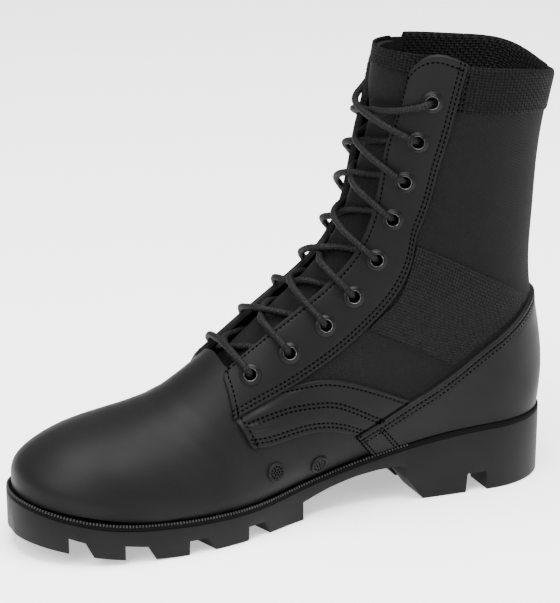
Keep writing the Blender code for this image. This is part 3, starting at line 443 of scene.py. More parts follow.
def makeEnamel(name, look):
    # Brass eyelets under baked black enamel, with a painted glint: one row on the lip roll is bright bare metal,
    # broken up by noise
    made, tree, shader = newFinish(name, Roughness=look["roughness"], Specular_IOR_Level=look["shine"])
    paintedGlint = addNode(tree, "ShaderNodeAttribute", attribute_name="paintedGlint").outputs["Fac"]
    place = addNode(tree, "ShaderNodeTexCoord").outputs["Object"]
    glintBreakup = addNode(tree, "ShaderNodeTexNoise", {"Vector": place, "Scale": look["glintBreakupScale"], "Detail": 3.0})
    bright = addNode(tree, "ShaderNodeMath", {0: paintedGlint, 1: glintBreakup.outputs["Fac"]}, operation="MULTIPLY")
    tint = rampOf(tree, bright.outputs[0], ((0.25, look["black"]), (0.55, look["glintMetal"])))
    metal = addNode(tree, "ShaderNodeMapRange", {"Value": bright.outputs[0], "From Min": 0.3, "From Max": 0.6})
    tree.links.new(tint, shader.inputs["Base Color"])
    tree.links.new(metal.outputs[0], shader.inputs["Metallic"])
    return made


finishes = {
    "leather": makeLeather("polishedLeather", leatherLook),
    "nylon": makeWeave("wovenNylon", nylonLook),
    "webbing": makeWeave("coarseWebbing", webbingLook),
    "band": makeWeave("ribbedWebbing", bandLook),
    "lining": makeWeave("darkLining", liningLook),
    "cord": makeWeave("braidedCord", cordLook),
    "rubber": makeRubber("mouldedRubber", light="#0f0f0f", dark="#090909", roughness=0.55, shine=0.1),
    # The welt's rubber is darker than the sole's: painted shade in the gap under the upper
    "ribRubber": makeRubber("weltRubberPaintedShade", light="#050505", dark="#020202", roughness=0.7, shine=0.05),
    "enamel": makeEnamel("blackEnamel", enamelLook),
    # The knurls are far lighter than the welt and sole rubber they belong to: a painted highlight on the beads
    "knurl": makeRubber("knurlRubberPaintedHighlight", light="#2c2c2c", dark="#1a1a1a", roughness=0.5, shine=0.2),
    "thread": makeRubber("waxedThread", light="#020202", dark="#010101", roughness=0.9, shine=0.0),
}
print("finishes made")


def newPiece(name, mesh, finish):
    piece = bpy.data.objects.new(name, mesh)
    bpy.context.scene.collection.objects.link(piece)
    if finish:
        mesh.materials.clear()
        mesh.materials.append(finishes[finish])
    return piece


def finishPiece(piece, slotName, *nodes):
    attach(piece, "root")
    if nodes:
        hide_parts(*nodes)
    return piece


def meshFrom(name, points, faces, uv=None, sharp=50):
    mesh = bpy.data.meshes.new(name)
    mesh.from_pydata(points.tolist(), [], [list(face) for face in faces])
    if uv is not None:
        corner = np.zeros(len(mesh.loops), np.int32)
        mesh.loops.foreach_get("vertex_index", corner)
        layer = mesh.uv_layers.new(name="cloth")
        layer.data.foreach_set("uv", uv[corner].astype(np.float32).ravel())
    mesh.shade_smooth()
    mesh.set_sharp_from_angle(angle=math.radians(sharp))
    return mesh


def shellMesh(name, outer, inner, uv=None):
    # A closed wall between two grids of points; its cloth's map is the lengths along the outer one
    if uv is None:
        uv = np.stack([arcLengths(outer, 1), arcLengths(outer, 0)], -1)
    rows, columns = outer.shape[:2]
    count = rows * columns
    index = np.arange(count).reshape(rows, columns)
    top = np.stack([index[:-1, :-1], index[:-1, 1:], index[1:, 1:], index[1:, :-1]], -1).reshape(-1, 4)
    rim = np.concatenate([index[0], index[1:, -1], index[-1, -2::-1], index[-2:0:-1, 0]])
    ahead = np.roll(rim, -1)
    sides = np.stack([rim, rim + count, ahead + count, ahead], -1)
    faces = np.concatenate([top, top[:, ::-1] + count, sides])
    flat = outer.reshape(-1, 3)
    facing = np.cross(flat[top[:, 2]] - flat[top[:, 0]], flat[top[:, 3]] - flat[top[:, 1]])
    if (facing * (flat - inner.reshape(-1, 3))[top[:, 0]]).sum() < 0:
        faces = faces[:, ::-1]
    points = np.concatenate([flat, inner.reshape(-1, 3)])
    return meshFrom(name, points, faces, np.concatenate([uv.reshape(-1, 2)] * 2))


def arcLengths(grid, axis):
    step = np.linalg.norm(np.diff(grid, axis=axis), axis=-1)
    start = np.zeros_like(np.take(step, [0], axis=axis))
    return np.concatenate([start, np.cumsum(step, axis=axis)], axis=axis)


fineSteps = np.array((0.0, 0.12, 0.3, 0.55, 0.85, 1.2, 1.6, 2.0, 2.4, 2.8, 3.2, 3.6, 4.0, 4.4, 4.8, 5.3, 6.0)) * mm
panelLook = {"seamWidth": 0.55 * mm, "sink": 0.4 * mm, "lineStep": 1.5 * mm}


def steps(length, spacing, fineStart, fineEnd):
    # Shares along an edge, close together beside the ends that carry seams
    low = fineSteps if fineStart else fineSteps[:1]
    high = length - (fineSteps if fineEnd else fineSteps[:1])[::-1]
    count = max(2, int(round((high[0] - low[-1]) / spacing)))
    return np.concatenate([low, np.linspace(low[-1], high[0], count + 1)[1:-1], high]) / length


def makePanel(name, route, look, finish):
    # route gives u and v for s and t. An overlay lies on the form, with its free edges rounded off and
    # a furrow under each seam. The seams' lines come back for the stitches.
    s = steps(look["long"], look["spacing"], "s0" in look["free"], "s1" in look["free"])
    t = steps(look["wide"], look["spacing"], "t0" in look["free"], "t1" in look["free"])
    u, v = route(*np.meshgrid(s, t))
    base = form.at(u, v)
    alongS, alongT = arcLengths(base, 1), arcLengths(base, 0)
    away = {"s0": alongS, "s1": alongS[:, -1:] - alongS, "t0": alongT, "t1": alongT[-1:] - alongT}
    edge = np.minimum.reduce([away[key] for key in look["free"]])
    rise = np.sqrt(1 - (1 - np.clip(edge / look["round"], 0, 1)) ** 2)
    relief = look["relief"](away, u, v) if "relief" in look else 0.0
    for key, inset, *_ in look["seams"]:
        relief = relief - look["furrow"] * ridge(away[key], inset, panelLook["seamWidth"])
    height = look["under"] + (look["top"] - look["under"]) * rise + relief * rise
    outer = onForm(u, v, height)
    inner = onForm(u, v, look["under"] - panelLook["sink"])
    piece = newPiece(name, shellMesh(name, outer, inner, np.stack([alongS, alongT], -1)), finish)
    normal = form.normal(u, v)
    lines = [seamLine(outer, normal, away, *seam) for seam in look["seams"]]
    return piece, lines


def seamLine(outer, normal, away, key, inset, trimStart=2.0 * mm, trimEnd=2.0 * mm):
    grids = [outer, normal]
    distance = away[key]
    if key[0] == "s":
        grids = [grid.transpose(1, 0, 2) for grid in grids]
        distance = distance.T
    picked = []
    for column in range(distance.shape[1]):
        order = np.argsort(distance[:, column])
        picked.append([[np.interp(inset, distance[order, column], grid[order, column, axis]) for axis in range(3)]
                       for grid in grids])
    points, normals = np.array(picked).transpose(1, 0, 2)
    way = arcLengths(points, 0)
    keep = np.linspace(trimStart, way[-1] - trimEnd, max(3, int(way[-1] / panelLook["lineStep"])))
    return [np.column_stack([np.interp(keep, way, part[:, axis]) for axis in range(3)])
            for part in (points, normals)]


def formLine(places, height, offset=0.0):
    # A smooth line over the form through given u and v, moved sideways by offset
    places = np.array(places, float)
    curveU, curveV = (spline(np.arange(len(places)), places[:, k]) for k in (0, 1))
    share = np.linspace(0, len(places) - 1, 12 * len(places))
    u, v = curveU(share), curveV(share)
    points, normals = onForm(u, v, height), form.normal(u, v)
    ahead = np.gradient(points, axis=0)
    aside = np.cross(normals, ahead / np.linalg.norm(ahead, axis=1, keepdims=True))
    return [points + aside * offset, normals]


stitchLines = []

print("form and tools ready")

# Vamp: one smooth piece of leather from the toe to the throat and back under the quarters
vampLook = {
    "rear": ((0.0, 6.12), (0.17, 6.08), (0.24, 6.10), (0.50, 6.20), (0.60, 6.40), (0.70, 6.60), (0.76, 7.00),
             (0.80, 7.30), (0.86, 7.70), (1.0, 8.20)),
    # Flex creases: u, v, reach along v, width along u and depth in mm
    "creases": ((4.75, -0.10, 0.50, 0.10, 0.35), (5.15, 0.05, 0.55, 0.12, 0.30), (4.35, -0.42, 0.22, 0.09, 0.18),
                (4.95, 0.52, 0.20, 0.10, 0.22)),
    "bend": 0.25, "inside": -1.35 * mm, "rows": 90, "columns": 120,
}


def vampRear(v):
    return np.interp(np.abs(v), [place for place, _ in vampLook["rear"]], [u for _, u in vampLook["rear"]])


def vampCreases(u, v):
    depth = 0.0
    for place, middle, reach, width, deep in vampLook["creases"]:
        bent = place + vampLook["bend"] * (v - middle) ** 2
        depth = depth - deep * mm * np.exp(-((u - bent) / width) ** 2 - ((v - middle) / reach) ** 2)
    return depth


def makeVamp():
    t = np.linspace(0, 1, vampLook["rows"])
    v, share = np.meshgrid(np.linspace(-1, 1, vampLook["columns"]), t)
    u = share * vampRear(v)
    outer, inner = onForm(u, v, vampCreases(u, v)), onForm(u, v, vampLook["inside"])
    return finishPiece(newPiece("vamp", shellMesh("vamp", outer, inner), "leather"), "leather", "upper")


makeVamp()

# Shaft: woven nylon in two halves, seamed at the back, and the lining inside
shaftLook = {"rows": 110, "columns": 64, "outer": 0.0, "inner": -1.3 * mm, "bottomTuck": 0.25}
liningShape = {"rows": 70, "columns": 40, "outer": -1.35 * mm, "inner": -2.0 * mm, "vampOuter": -1.4 * mm}
tuckLook = {"depth": 0.6 * mm, "row": 0.026, "over": 0.012}
collarDip = {"medial": 0.16, "lateral": 0.06, "back": 0.03, "from": 0.25, "over": 0.6,
             "swell": 0.09, "swellPlace": 0.75, "swellWidth": 0.17}


def collarTop(v):
    # The collar's edge dips to the front and swells up at the rear of the outer side
    front = np.where(np.asarray(v) < 0, collarDip["medial"], collarDip["lateral"])
    back = collarDip["back"]
    swell = collarDip["swell"] * ridge(v, collarDip["swellPlace"], collarDip["swellWidth"])
    return (boot["collarSection"] - back
            - (front - back) * (1 - ease((np.abs(v) - collarDip["from"]) / collarDip["over"])) + swell)


def shaftHalf(look, side, front):
    share, row = np.meshgrid(np.linspace(0, 1, look["columns"]), np.linspace(0, 1, look["rows"]))
    v = share
    for _ in range(4):
        start = front(v)
        u = start + (collarTop(side * v) - start) * row
        edge = form.throatEdge(np.maximum(u, boot["throatSection"]))
        v = edge + (1 - edge) * share
    tuck = tuckLook["depth"] * (1 - ease((row - tuckLook["row"]) / tuckLook["over"]))
    return shellMesh("half", *(onForm(u, side * v, look[key] - tuck) for key in ("outer", "inner")))


def joinMeshes(name, meshes, finish):
    # Several meshes of one finish become one piece
    pieces = [newPiece(f"{name}{i}", mesh, finish) for i, mesh in enumerate(meshes)]
    with bpy.context.temp_override(active_object=pieces[0], selected_editable_objects=pieces):
        bpy.ops.object.join()
    pieces[0].name = name
    pieces[0].data.name = name
    return pieces[0]


# The eyelets' u and v from the toe up, the same on both sides
eyeletPlaces = ((6.32, 0.365), (7.10, 0.420), (7.94, 0.404), (8.74, 0.350), (9.85, 0.282), (11.18, 0.253),
                (12.34, 0.266), (13.46, 0.284), (14.26, 0.305))
punchLook = {"radius": 3.3 * mm, "reach": 7 * mm, "sides": 24}


def cutAway(piece, name, tool):
    cut = piece.modifiers.new(name, "BOOLEAN")
    cut.operation = "DIFFERENCE"
    cut.solver = "EXACT"
    cut.object = tool


def bakedMesh(piece):
    # What the piece's modifiers make of it, as a plain mesh, and the modifiers go
    graph = bpy.context.evaluated_depsgraph_get()
    graph.update()
    made = bpy.data.meshes.new_from_object(piece.evaluated_get(graph))
    piece.modifiers.clear()
    return made


def prismFaces(count):
    faces = [(k, (k + 1) % count, count + (k + 1) % count, count + k) for k in range(count)]
    return faces + [tuple(range(count - 1, -1, -1)), tuple(range(count, 2 * count))]


def punchHoles(piece, side):
    # Round holes under the eyelets of one side, cut right through
    cutters = []
    count, reach = punchLook["sides"], punchLook["reach"]
    ring = np.array([(math.cos(a), math.sin(a), 0) for a in np.linspace(0, 2 * math.pi, count, endpoint=False)])
    for u, v in eyeletPlaces:
        middle, out = onForm(u, side * v), form.normal(u, side * v)
        turn = np.array(Vector(out).to_track_quat("Z", "Y").to_matrix())
        points = np.concatenate([middle + ring @ turn.T * punchLook["radius"] + out * h for h in (-reach, reach)])
        cutters.append(meshFrom("punch", points, prismFaces(count)))
    punch = joinMeshes("punch", cutters, None)
    cutAway(piece, "holes", punch)
    piece.data = bakedMesh(piece)
    bpy.data.objects.remove(punch)


def bothHalves(look, finish, front):
    meshes = []
    for side in (-1, 1):
        half = newPiece("half", shaftHalf(look, side, front), finish)
        punchHoles(half, side)
        meshes.append(half.data)
        bpy.data.objects.remove(half)
    return meshes


def makeShaft():
    meshes = bothHalves(shaftLook, "nylon", lambda v: vampRear(v) - shaftLook["bottomTuck"])
    return finishPiece(joinMeshes("shaftNylon", meshes, "nylon"), "nylon")


def makeLining():
    meshes = bothHalves(liningShape, "lining", lambda v: boot["throatSection"] + 0 * v)
    v, u = np.meshgrid(np.linspace(-1, 1, 60), np.linspace(0, boot["throatSection"] + 0.02, 40))
    outer, inner = onForm(u, v, liningShape["vampOuter"]), onForm(u, v, liningShape["inner"])
    meshes.append(shellMesh("liningVamp", outer, inner))
    return finishPiece(joinMeshes("lining", meshes, "lining"), "nylon")


makeShaft()
makeLining()
print("vamp, shaft and lining made")

# Eyestays: thick leather facings along the throat
eyestayRows = ((5.50, 0.490), (6.30, 0.530), (7.00, 0.556), (7.60, 0.548), (8.50, 0.484), (9.00, 0.442),
               (9.70, 0.392), (10.40, 0.352), (11.10, 0.330), (12.40, 0.352), (13.50, 0.373), (14.30, 0.391),
               (15.00, 0.403))
eyestayEdge = tableCurve(eyestayRows, 1)
eyestayLook = {
    "front": 5.93, "frontSweep": 0.33, "frontRound": 0.13, "frontCornerWide": 0.2,
    "topDrop": (0.06, 0.15), "topSlope": 0.12, "topRound": 0.45, "cornerWide": 0.6,
    "long": 265 * mm, "wide": 26 * mm, "spacing": 1.5 * mm, "top": 1.9 * mm, "under": 0.05 * mm,
    "round": 0.9 * mm, "furrow": 0.22 * mm, "free": ("s0", "s1", "t0", "t1"),
    "seams": (("t1", 2.3 * mm), ("t1", 4.6 * mm), ("t0", 3.0 * mm, 3.0 * mm, 3.2 * mm),
              ("s0", 3.2 * mm, 3.0 * mm, 2.3 * mm), ("s1", 4.0 * mm, 3.0 * mm, 4.6 * mm)),
}


def cornerFall(t, wide):
    # How far a round corner has fallen away, from 1 at the edge to 0 at its width
    return 1 - np.sqrt(1 - np.clip(1 - t / wide, 0, 1) ** 2)


def eyestayRoute(side):
    def route(s, t):
        front = eyestayLook["front"] - eyestayLook["frontSweep"] * t ** 1.5
        front = front + eyestayLook["frontRound"] * cornerFall(t, eyestayLook["frontCornerWide"])
        top = (boot["topSection"] - eyestayLook["topDrop"][side > 0] - eyestayLook["topSlope"] * t ** 2
               - eyestayLook["topRound"] * cornerFall(t, eyestayLook["cornerWide"]))
        u = front + (top - front) * s
        edge = form.throatEdge(u)
        return u, side * (edge + (eyestayEdge(u) - edge) * t)
    return route


bothSides = ((-1, "Medial"), (1, "Lateral"))
for side, sideName in bothSides:
    eyestay, lines = makePanel("eyestay" + sideName, eyestayRoute(side), eyestayLook, "leather")
    punchHoles(eyestay, side)
    finishPiece(eyestay, "leather", "eyestay_" + sideName.lower())
    stitchLines += lines
print("eyestays made")

# The counter's top edge, run and rise, which the quarters and the ankle webbing run under
counterTop = ((0.000, 0.360), (0.052, 0.342), (0.097, 0.305), (0.146, 0.260), (0.215, 0.189), (0.262, 0.155),
              (0.311, 0.133), (0.350, 0.116), (0.388, 0.102), (0.408, 0.093))
counterRise = tableCurve(counterTop, 1)

# Quarters: the leather between eyestay, vamp and counter, with a beaded front edge and small puckers
quarterRows = (
    (0.0, 0.632, 0.252, 0.608, 0.163),
    (0.2, 0.586, 0.300, 0.570, 0.158),
    (0.4, 0.526, 0.306, 0.521, 0.162),
    (0.6, 0.463, 0.297, 0.479, 0.155),
    (0.8, 0.390, 0.240, 0.441, 0.132),
    (1.0, 0.290, 0.128, 0.397, 0.090),
)
# Along, across from the lower edge, reach, width and height, all in mm
quarterPuckers = ((9, 8.4, 6, 1.3, 0.5), (10, 10.3, 6, 1.1, -0.6), (10, 12.2, 7, 1.4, 0.6), (9, 14.0, 6, 1.2, -0.5),
                  (14, 19.0, 7, 2.2, 0.6))
quarterDip = {"depth": 1.25 * mm, "underEyestay": 3.2 * mm, "perWay": 110 * mm, "underCounter": 2.5 * mm}


def quarterRelief(away, u, v):
    front, low = away["s0"], away["t1"]
    relief = 0.9 * mm * ridge(front, 1.5 * mm, 1.3 * mm)
    for along, across, reach, width, height in quarterPuckers:
        relief = relief + height * mm * np.exp(-((front / mm - along) / reach) ** 2
                                               - ((low / mm - across - 0.05 * (front / mm - along)) / width) ** 2)
    # It dips where it runs under the eyestay and under the counter
    clear = np.maximum(np.abs(v) - eyestayEdge(u), 0) * quarterDip["perWay"]
    x, _, z = np.moveaxis(form.at(u, v), -1, 0)
    above = z - seatHeight(x) - counterRise(x / boot["soleLength"]) * boot["shaftHeight"]
    dip = np.maximum(ridge(clear, 0, quarterDip["underEyestay"]), 1 - ease(above / quarterDip["underCounter"]))
    return relief * (1 - dip) - quarterDip["depth"] * dip + 0.4 * mm * ridge(low, 9 * mm, 4 * mm)


quarterLook = {
    "long": 92 * mm, "wide": 26 * mm, "spacing": 0.9 * mm, "top": 1.6 * mm, "under": 0.05 * mm,
    "round": 0.9 * mm, "furrow": 0.25 * mm, "free": ("s0", "t0", "t1"), "relief": quarterRelief,
    "seamApart": 1.1 * mm, "seamRise": 1.75 * mm,
    "seams": (("s0", 3.7 * mm, 2.5 * mm, 2.5 * mm), ("t0", 2.8 * mm), ("t1", 2.8 * mm, 4 * mm, 1 * mm),
              ("t1", 5.0 * mm, 4 * mm, 1 * mm)),
}
# A double seam holds it down, one row on each side of this line
quarterSeam = ((5.79, 0.568), (6.33, 0.610), (6.71, 0.647), (7.06, 0.689), (7.38, 0.737), (7.75, 0.833),
               (7.84, 0.853))


def sideRoute(rows, side):
    curves = [tableCurve(rows, column) for column in (1, 2, 3, 4)]

    def route(s, t):
        runA, riseA, runB, riseB = (curve(s) for curve in curves)
        x = (runA + (runB - runA) * t) * boot["soleLength"]
        z = seatHeight(x) + (riseA + (riseB - riseA) * t) * boot["shaftHeight"]
        return form.fromSide(x, z, side > 0)
    return route


for side, sideName in bothSides:
    quarter, lines = makePanel("quarter" + sideName, sideRoute(quarterRows, side), quarterLook, "leather")
    finishPiece(quarter, "leather", "quarter_" + sideName.lower())
    stitchLines += lines
    for offset in (-quarterLook["seamApart"], quarterLook["seamApart"]):
        places = [(u, side * v) for u, v in quarterSeam]
        stitchLines.append(formLine(places, quarterLook["seamRise"], offset))
print("quarters made")

# Ankle webbing: a broad woven strap from the eyestay down to the heel counter
ankleRows = (
    (0.00, 0.285, 0.590, 0.060, 0.358),
    (0.33, 0.312, 0.466, 0.103, 0.321),
    (0.67, 0.348, 0.418, 0.152, 0.276),
    (1.00, 0.375, 0.390, 0.220, 0.207),
)
ankleLook = {
    "long": 60 * mm, "wide": 95 * mm, "spacing": 1.6 * mm, "top": 1.0 * mm, "under": 0.05 * mm,
    "round": 0.7 * mm, "furrow": 0.0, "free": ("s0", "s1"), "seams": (),
}
for side, sideName in bothSides:
    strap, _ = makePanel("ankleWebbing" + sideName, sideRoute(ankleRows, side), ankleLook, "webbing")
    finishPiece(strap, "webbing", "ankle_webbing_" + sideName.lower())
print("ankle webbing made")


# Heel counter: one piece of leather round the heel, its top edge rolled over and stitched twice
def counterRelief(away, u, v):
    return (0.45 * mm * ridge(away["t1"], 1.3 * mm, 1.1 * mm)
            + 0.35 * mm * ridge(away["t1"], 4.4 * mm, 0.8 * mm))


counterLook = {
    "lowRun": 0.365, "spread": 0.30, "overWelt": 0.3 * mm, "seamRise": 1.95 * mm,
    "long": 300 * mm, "wide": 60 * mm, "spacing": 2.0 * mm, "top": 1.9 * mm, "under": 0.05 * mm,
    "round": 0.9 * mm, "furrow": 0.3 * mm, "free": ("s0", "s1", "t1"), "relief": counterRelief,
    "seams": (("t1", 3.1 * mm), ("t1", 5.7 * mm)),
}


def counterRoute(s, t):
    ways = 2 * s - 1
    spread = np.hypot(ways, counterLook["spread"]) - counterLook["spread"]
    spread /= np.hypot(1, counterLook["spread"]) - counterLook["spread"]
    topEnd = counterTop[-1][0] * boot["soleLength"] - form.cornerX
    lowEnd = counterLook["lowRun"] * boot["soleLength"] - form.cornerX
    reach = (lowEnd + (topEnd - lowEnd) * t) * spread
    topX = form.cornerX + topEnd * spread
    for _ in range(4):
        topZ = seatHeight(topX) + counterRise(topX / boot["soleLength"]) * boot["shaftHeight"]
        topX = form.back(topZ) + topEnd * spread
    lowZ = seatHeight(lowEnd * spread) + counterLook["overWelt"]
    z = lowZ + (topZ - lowZ) * t
    u, v = form.fromSide(form.back(z) + reach, z, ways > 0)
    # At the very back both sides meet at the same place
    return u, np.where(np.abs(ways) < 1e-6, np.sign(ways + 1e-9), v)


counter, lines = makePanel("heelCounter", counterRoute, counterLook, "leather")
finishPiece(counter, "leather", "heel_counter")
stitchLines += lines
# Two short double seams near each front end: x and z of their tops and feet, in mm
counterSeams = (((126, 46), (112, 30.5)), ((112, 48), (98, 32.6)))
for side in (-1, 1):
    for (topX, topZ), (lowX, lowZ) in counterSeams:
        for offset in (-1.0, 1.0):
            share = np.linspace(0.12, 0.95, 12)
            x = (topX + (lowX - topX) * share + offset) * mm
            z = (topZ + (lowZ - topZ) * share - 0.3 * offset) * mm
            u, v = form.fromSide(x, z, side > 0)
            stitchLines.append([onForm(u, v, counterLook["seamRise"]), form.normal(u, v)])
print("counter made")

# Collar band: webbing folded over the collar's edge
collarLook = {
    "front": 0.396, "past": 0.012, "columns": 60,
    "lowEdge": ((0.37, 14.22), (0.50, 14.33), (0.64, 14.45), (0.80, 14.53), (1.00, 14.59)),
    "over": 1.1 * mm, "inside": -2.5 * mm, "thick": 0.9 * mm, "edgeSteps": (0.25, 0.8),
    "rimRise": 0.065, "rimInnerRise": 0.02, "rimThick": 0.7 * mm, "rimStart": 0.25, "seams": (1.6 * mm, 3.6 * mm),
}


def makeCollarBand():
    look = collarLook
    start = look["front"] - look["past"]
    ways = start + (1 - look["front"] + look["past"]) * np.linspace(0, 1, look["columns"])
    ways = np.concatenate([-ways, ways[:-1][::-1]])
    low, top = tableCurve(look["lowEdge"], 1)(np.abs(ways)), collarTop(ways)
    middle, reach = (look["over"] + look["inside"]) / 2, (look["over"] - look["inside"]) / 2
    # The section's rows: u and height of the band's outer face, then of its inner one
    section = []
    shares = np.linspace(0, 1, 22)
    for share, proud in zip(shares, look["edgeSteps"] + (1.0,) * (len(shares) - 2)):
        u, height = low + (top - low) * share, look["over"] * proud
        section.append((u, height, u, height - look["thick"]))
    for turn in np.linspace(look["rimStart"], math.pi - look["rimStart"], 7):
        section.append((top + look["rimRise"] * math.sin(turn), middle + reach * math.cos(turn),
                        top + look["rimInnerRise"] * math.sin(turn),
                        middle + (reach - look["rimThick"]) * math.cos(turn)))
    for share in np.linspace(0.03, 0.75, 9):
        u = top - (top - low) * share
        section.append((u, look["inside"], u, look["inside"] + look["thick"]))
    outer, inner = (np.stack([onForm(row[k], ways, row[k + 1]) for row in section]) for k in (0, 2))
    normals = np.stack([form.normal(row[0], ways) for row in section])
    rows = range(1, 20)
    for inset in look["seams"]:
        for flip in (1, -1):
            way = arcLengths(outer[:, ::flip], 1)
            line = [[np.interp(inset, way[row], grid[row, ::flip, axis]) for axis in range(3)]
                    for grid in (outer, normals) for row in rows]
            stitchLines.append(list(np.array(line).reshape(2, len(rows), 3)))
    band = newPiece("collarBand", shellMesh("collarBand", outer, inner), "band")
    return finishPiece(band, "webbing", "collar_band")


makeCollarBand()
print("collar band made")

# Tongue: a thick woven strip under the laces, with a webbing band across its top
tongueLook = {
    "hinge": 5.1, "top": 14.8, "lap": 11 * mm, "lacedFrom": 6.15, "thick": 3.0 * mm, "thinEdge": 0.6 * mm,
    "frontDepth": 2.3 * mm, "lacedDepth": 6.6 * mm, "swell": 5.5 * mm, "swellFrom": 13.2,
    "bandFrom": 14.58, "bandPast": 0.06, "bandOver": 1.2 * mm, "bandUnder": 0.2 * mm,
    # Soft folds across it: u, side, reach, width and height in mm
    "folds": ((7.0, 0.1, 0.6, 0.10, 0.35), (8.3, -0.2, 0.6, 0.12, -0.35), (9.3, 0.1, 0.7, 0.10, 0.40),
              (10.3, 0.2, 0.5, 0.14, -0.30), (12.0, -0.3, 0.5, 0.15, 0.30)),
}


def tongueGrid(fromU, toU, rows, columns):
    u, side = np.meshgrid(np.linspace(fromU, toU, rows), np.linspace(-1, 1, columns), indexing="ij")
    lap = tongueLook["lap"] * (1 + ease((u - tongueLook["hinge"]) / 2)) / 2
    edge = form.wayAt(u, boot["throatGap"] / 2 + lap)
    frontX, lacedX = form.topX(tongueLook["hinge"]), form.topX(tongueLook["lacedFrom"])
    x = form.at(u, edge * side)[..., 0]
    depth = -(tongueLook["frontDepth"] + (tongueLook["lacedDepth"] - tongueLook["frontDepth"])
              * ease((frontX - x) / (frontX - lacedX)))
    depth = depth + tongueLook["swell"] * ease((u - tongueLook["swellFrom"]) / 1.2) * (1 - 0.6 * side ** 2)
    return u, edge * side, side, depth


def makeTongue():
    u, v, side, depth = tongueGrid(tongueLook["hinge"], tongueLook["top"], 150, 40)
    soft = (1 - np.clip((np.abs(side) - 0.9) / 0.1, 0, 1) ** 2) * tongueLook["thick"]
    folds = 0.0
    for place, middle, reach, width, height in tongueLook["folds"]:
        folds = folds + height * mm * np.exp(-((u - place - 0.2 * side) / width) ** 2
                                             - ((side - middle) / reach) ** 2)
    under = depth - tongueLook["thick"]
    outer = onForm(u, v, under + np.maximum(soft, tongueLook["thinEdge"]) + folds)
    tongue = newPiece("tongueCloth", shellMesh("tongueCloth", outer, onForm(u, v, under)), "nylon")
    finishPiece(tongue, "nylon", "tongue")
    u, v, side, depth = tongueGrid(tongueLook["bandFrom"], tongueLook["top"] + tongueLook["bandPast"], 24, 40)
    outer, inner = onForm(u, v, depth + tongueLook["bandOver"]), onForm(u, v, depth - tongueLook["bandUnder"])
    return finishPiece(newPiece("tongueBand", shellMesh("tongueBand", outer, inner), "band"), "webbing")


makeTongue()
print("tongue made")


def repeatTree(name):
    # A row of small items along a path: the path's points carry the surface's own up direction
    tree = bpy.data.node_groups.new(name, "GeometryNodeTree")
    tree.interface.new_socket("Path", in_out="INPUT", socket_type="NodeSocketGeometry")
    for label in ("Pitch", "Item length", "Item width", "Item height"):
        tree.interface.new_socket(label, in_out="INPUT", socket_type="NodeSocketFloat")
    tree.interface.new_socket("Finish", in_out="INPUT", socket_type="NodeSocketMaterial")
    tree.interface.new_socket("Items", in_out="OUTPUT", socket_type="NodeSocketGeometry")
    given = addNode(tree, "NodeGroupInput").outputs
    line = addNode(tree, "GeometryNodeMeshToCurve", {"Mesh": given["Path"]})
    even = addNode(tree, "GeometryNodeResampleCurve", {"Curve": line.outputs[0], "Length": given["Pitch"]},
                   mode="LENGTH")
    up = addNode(tree, "GeometryNodeInputNamedAttribute", {"Name": "up"}, data_type="FLOAT_VECTOR")
    ahead = addNode(tree, "GeometryNodeInputTangent")
    turned = addNode(tree, "FunctionNodeAlignRotationToVector", {"Vector": ahead.outputs[0]}, axis="X")
    seated = addNode(tree, "FunctionNodeAlignRotationToVector",
                     {"Rotation": turned.outputs[0], "Vector": up.outputs["Attribute"]}, axis="Z", pivot_axis="X")
    size = addNode(tree, "ShaderNodeCombineXYZ", {"X": given["Item length"], "Y": given["Item width"],
                                                  "Z": given["Item height"]})
    item = addNode(tree, "GeometryNodeMeshUVSphere", {"Segments": 8, "Rings": 6, "Radius": 0.5})
    placed = addNode(tree, "GeometryNodeInstanceOnPoints",
                     {"Points": even.outputs[0], "Instance": item.outputs[0], "Rotation": seated.outputs[0],
                      "Scale": size.outputs[0]})
    real = addNode(tree, "GeometryNodeRealizeInstances", {0: placed.outputs[0]})
    dressed = addNode(tree, "GeometryNodeSetMaterial", {"Geometry": real.outputs[0], "Material": given["Finish"]})
    addNode(tree, "NodeGroupOutput", {0: dressed.outputs[0]})
    return tree


def runAlong(name, lines, tree, values, slotName):
    # lines are pairs of points and up directions; the tree's result becomes a plain mesh
    points = np.concatenate([line[0] for line in lines])
    ups = np.concatenate([line[1] for line in lines])
    edges, start = [], 0
    for line in lines:
        edges += [(start + k, start + k + 1) for k in range(len(line[0]) - 1)]
        start += len(line[0])
    mesh = bpy.data.meshes.new(name)
    mesh.from_pydata(points.tolist(), edges, [])
    mesh.attributes.new("up", "FLOAT_VECTOR", "POINT").data.foreach_set("vector", ups.astype(np.float32).ravel())
    path = newPiece(name + "Path", mesh, None)
    repeat = path.modifiers.new("repeat", "NODES")
    repeat.node_group = tree
    for item in tree.interface.items_tree:
        if item.in_out == "INPUT" and item.name in values:
            repeat[item.identifier] = values[item.name]
    made = bakedMesh(path)
    bpy.data.objects.remove(path)
    made.shade_smooth()
    print(name, len(made.polygons), "faces")
    return finishPiece(newPiece(name, made, None), slotName)


# Stitches: waxed thread, sunk a little into its furrow
stitchLook = {"Pitch": 2.6 * mm, "Item length": 1.8 * mm, "Item width": 0.95 * mm, "Item height": 0.75 * mm,
              "Finish": finishes["thread"]}
runAlong("stitches", stitchLines, repeatTree("stitchRow"), stitchLook, "cord")

# Eyelets: a rolled brass flange with its barrel through the leather
# The last entry picks the lip row that carries the painted glint ring
eyeletLook = {"bore": 3.0 * mm, "flange": 5.9 * mm, "barrel": 3.15 * mm, "lip": 1.1 * mm, "roll": 0.75 * mm,
              "seat": 1.9 * mm, "back": -2.6 * mm, "steps": 28, "glintRow": 3}


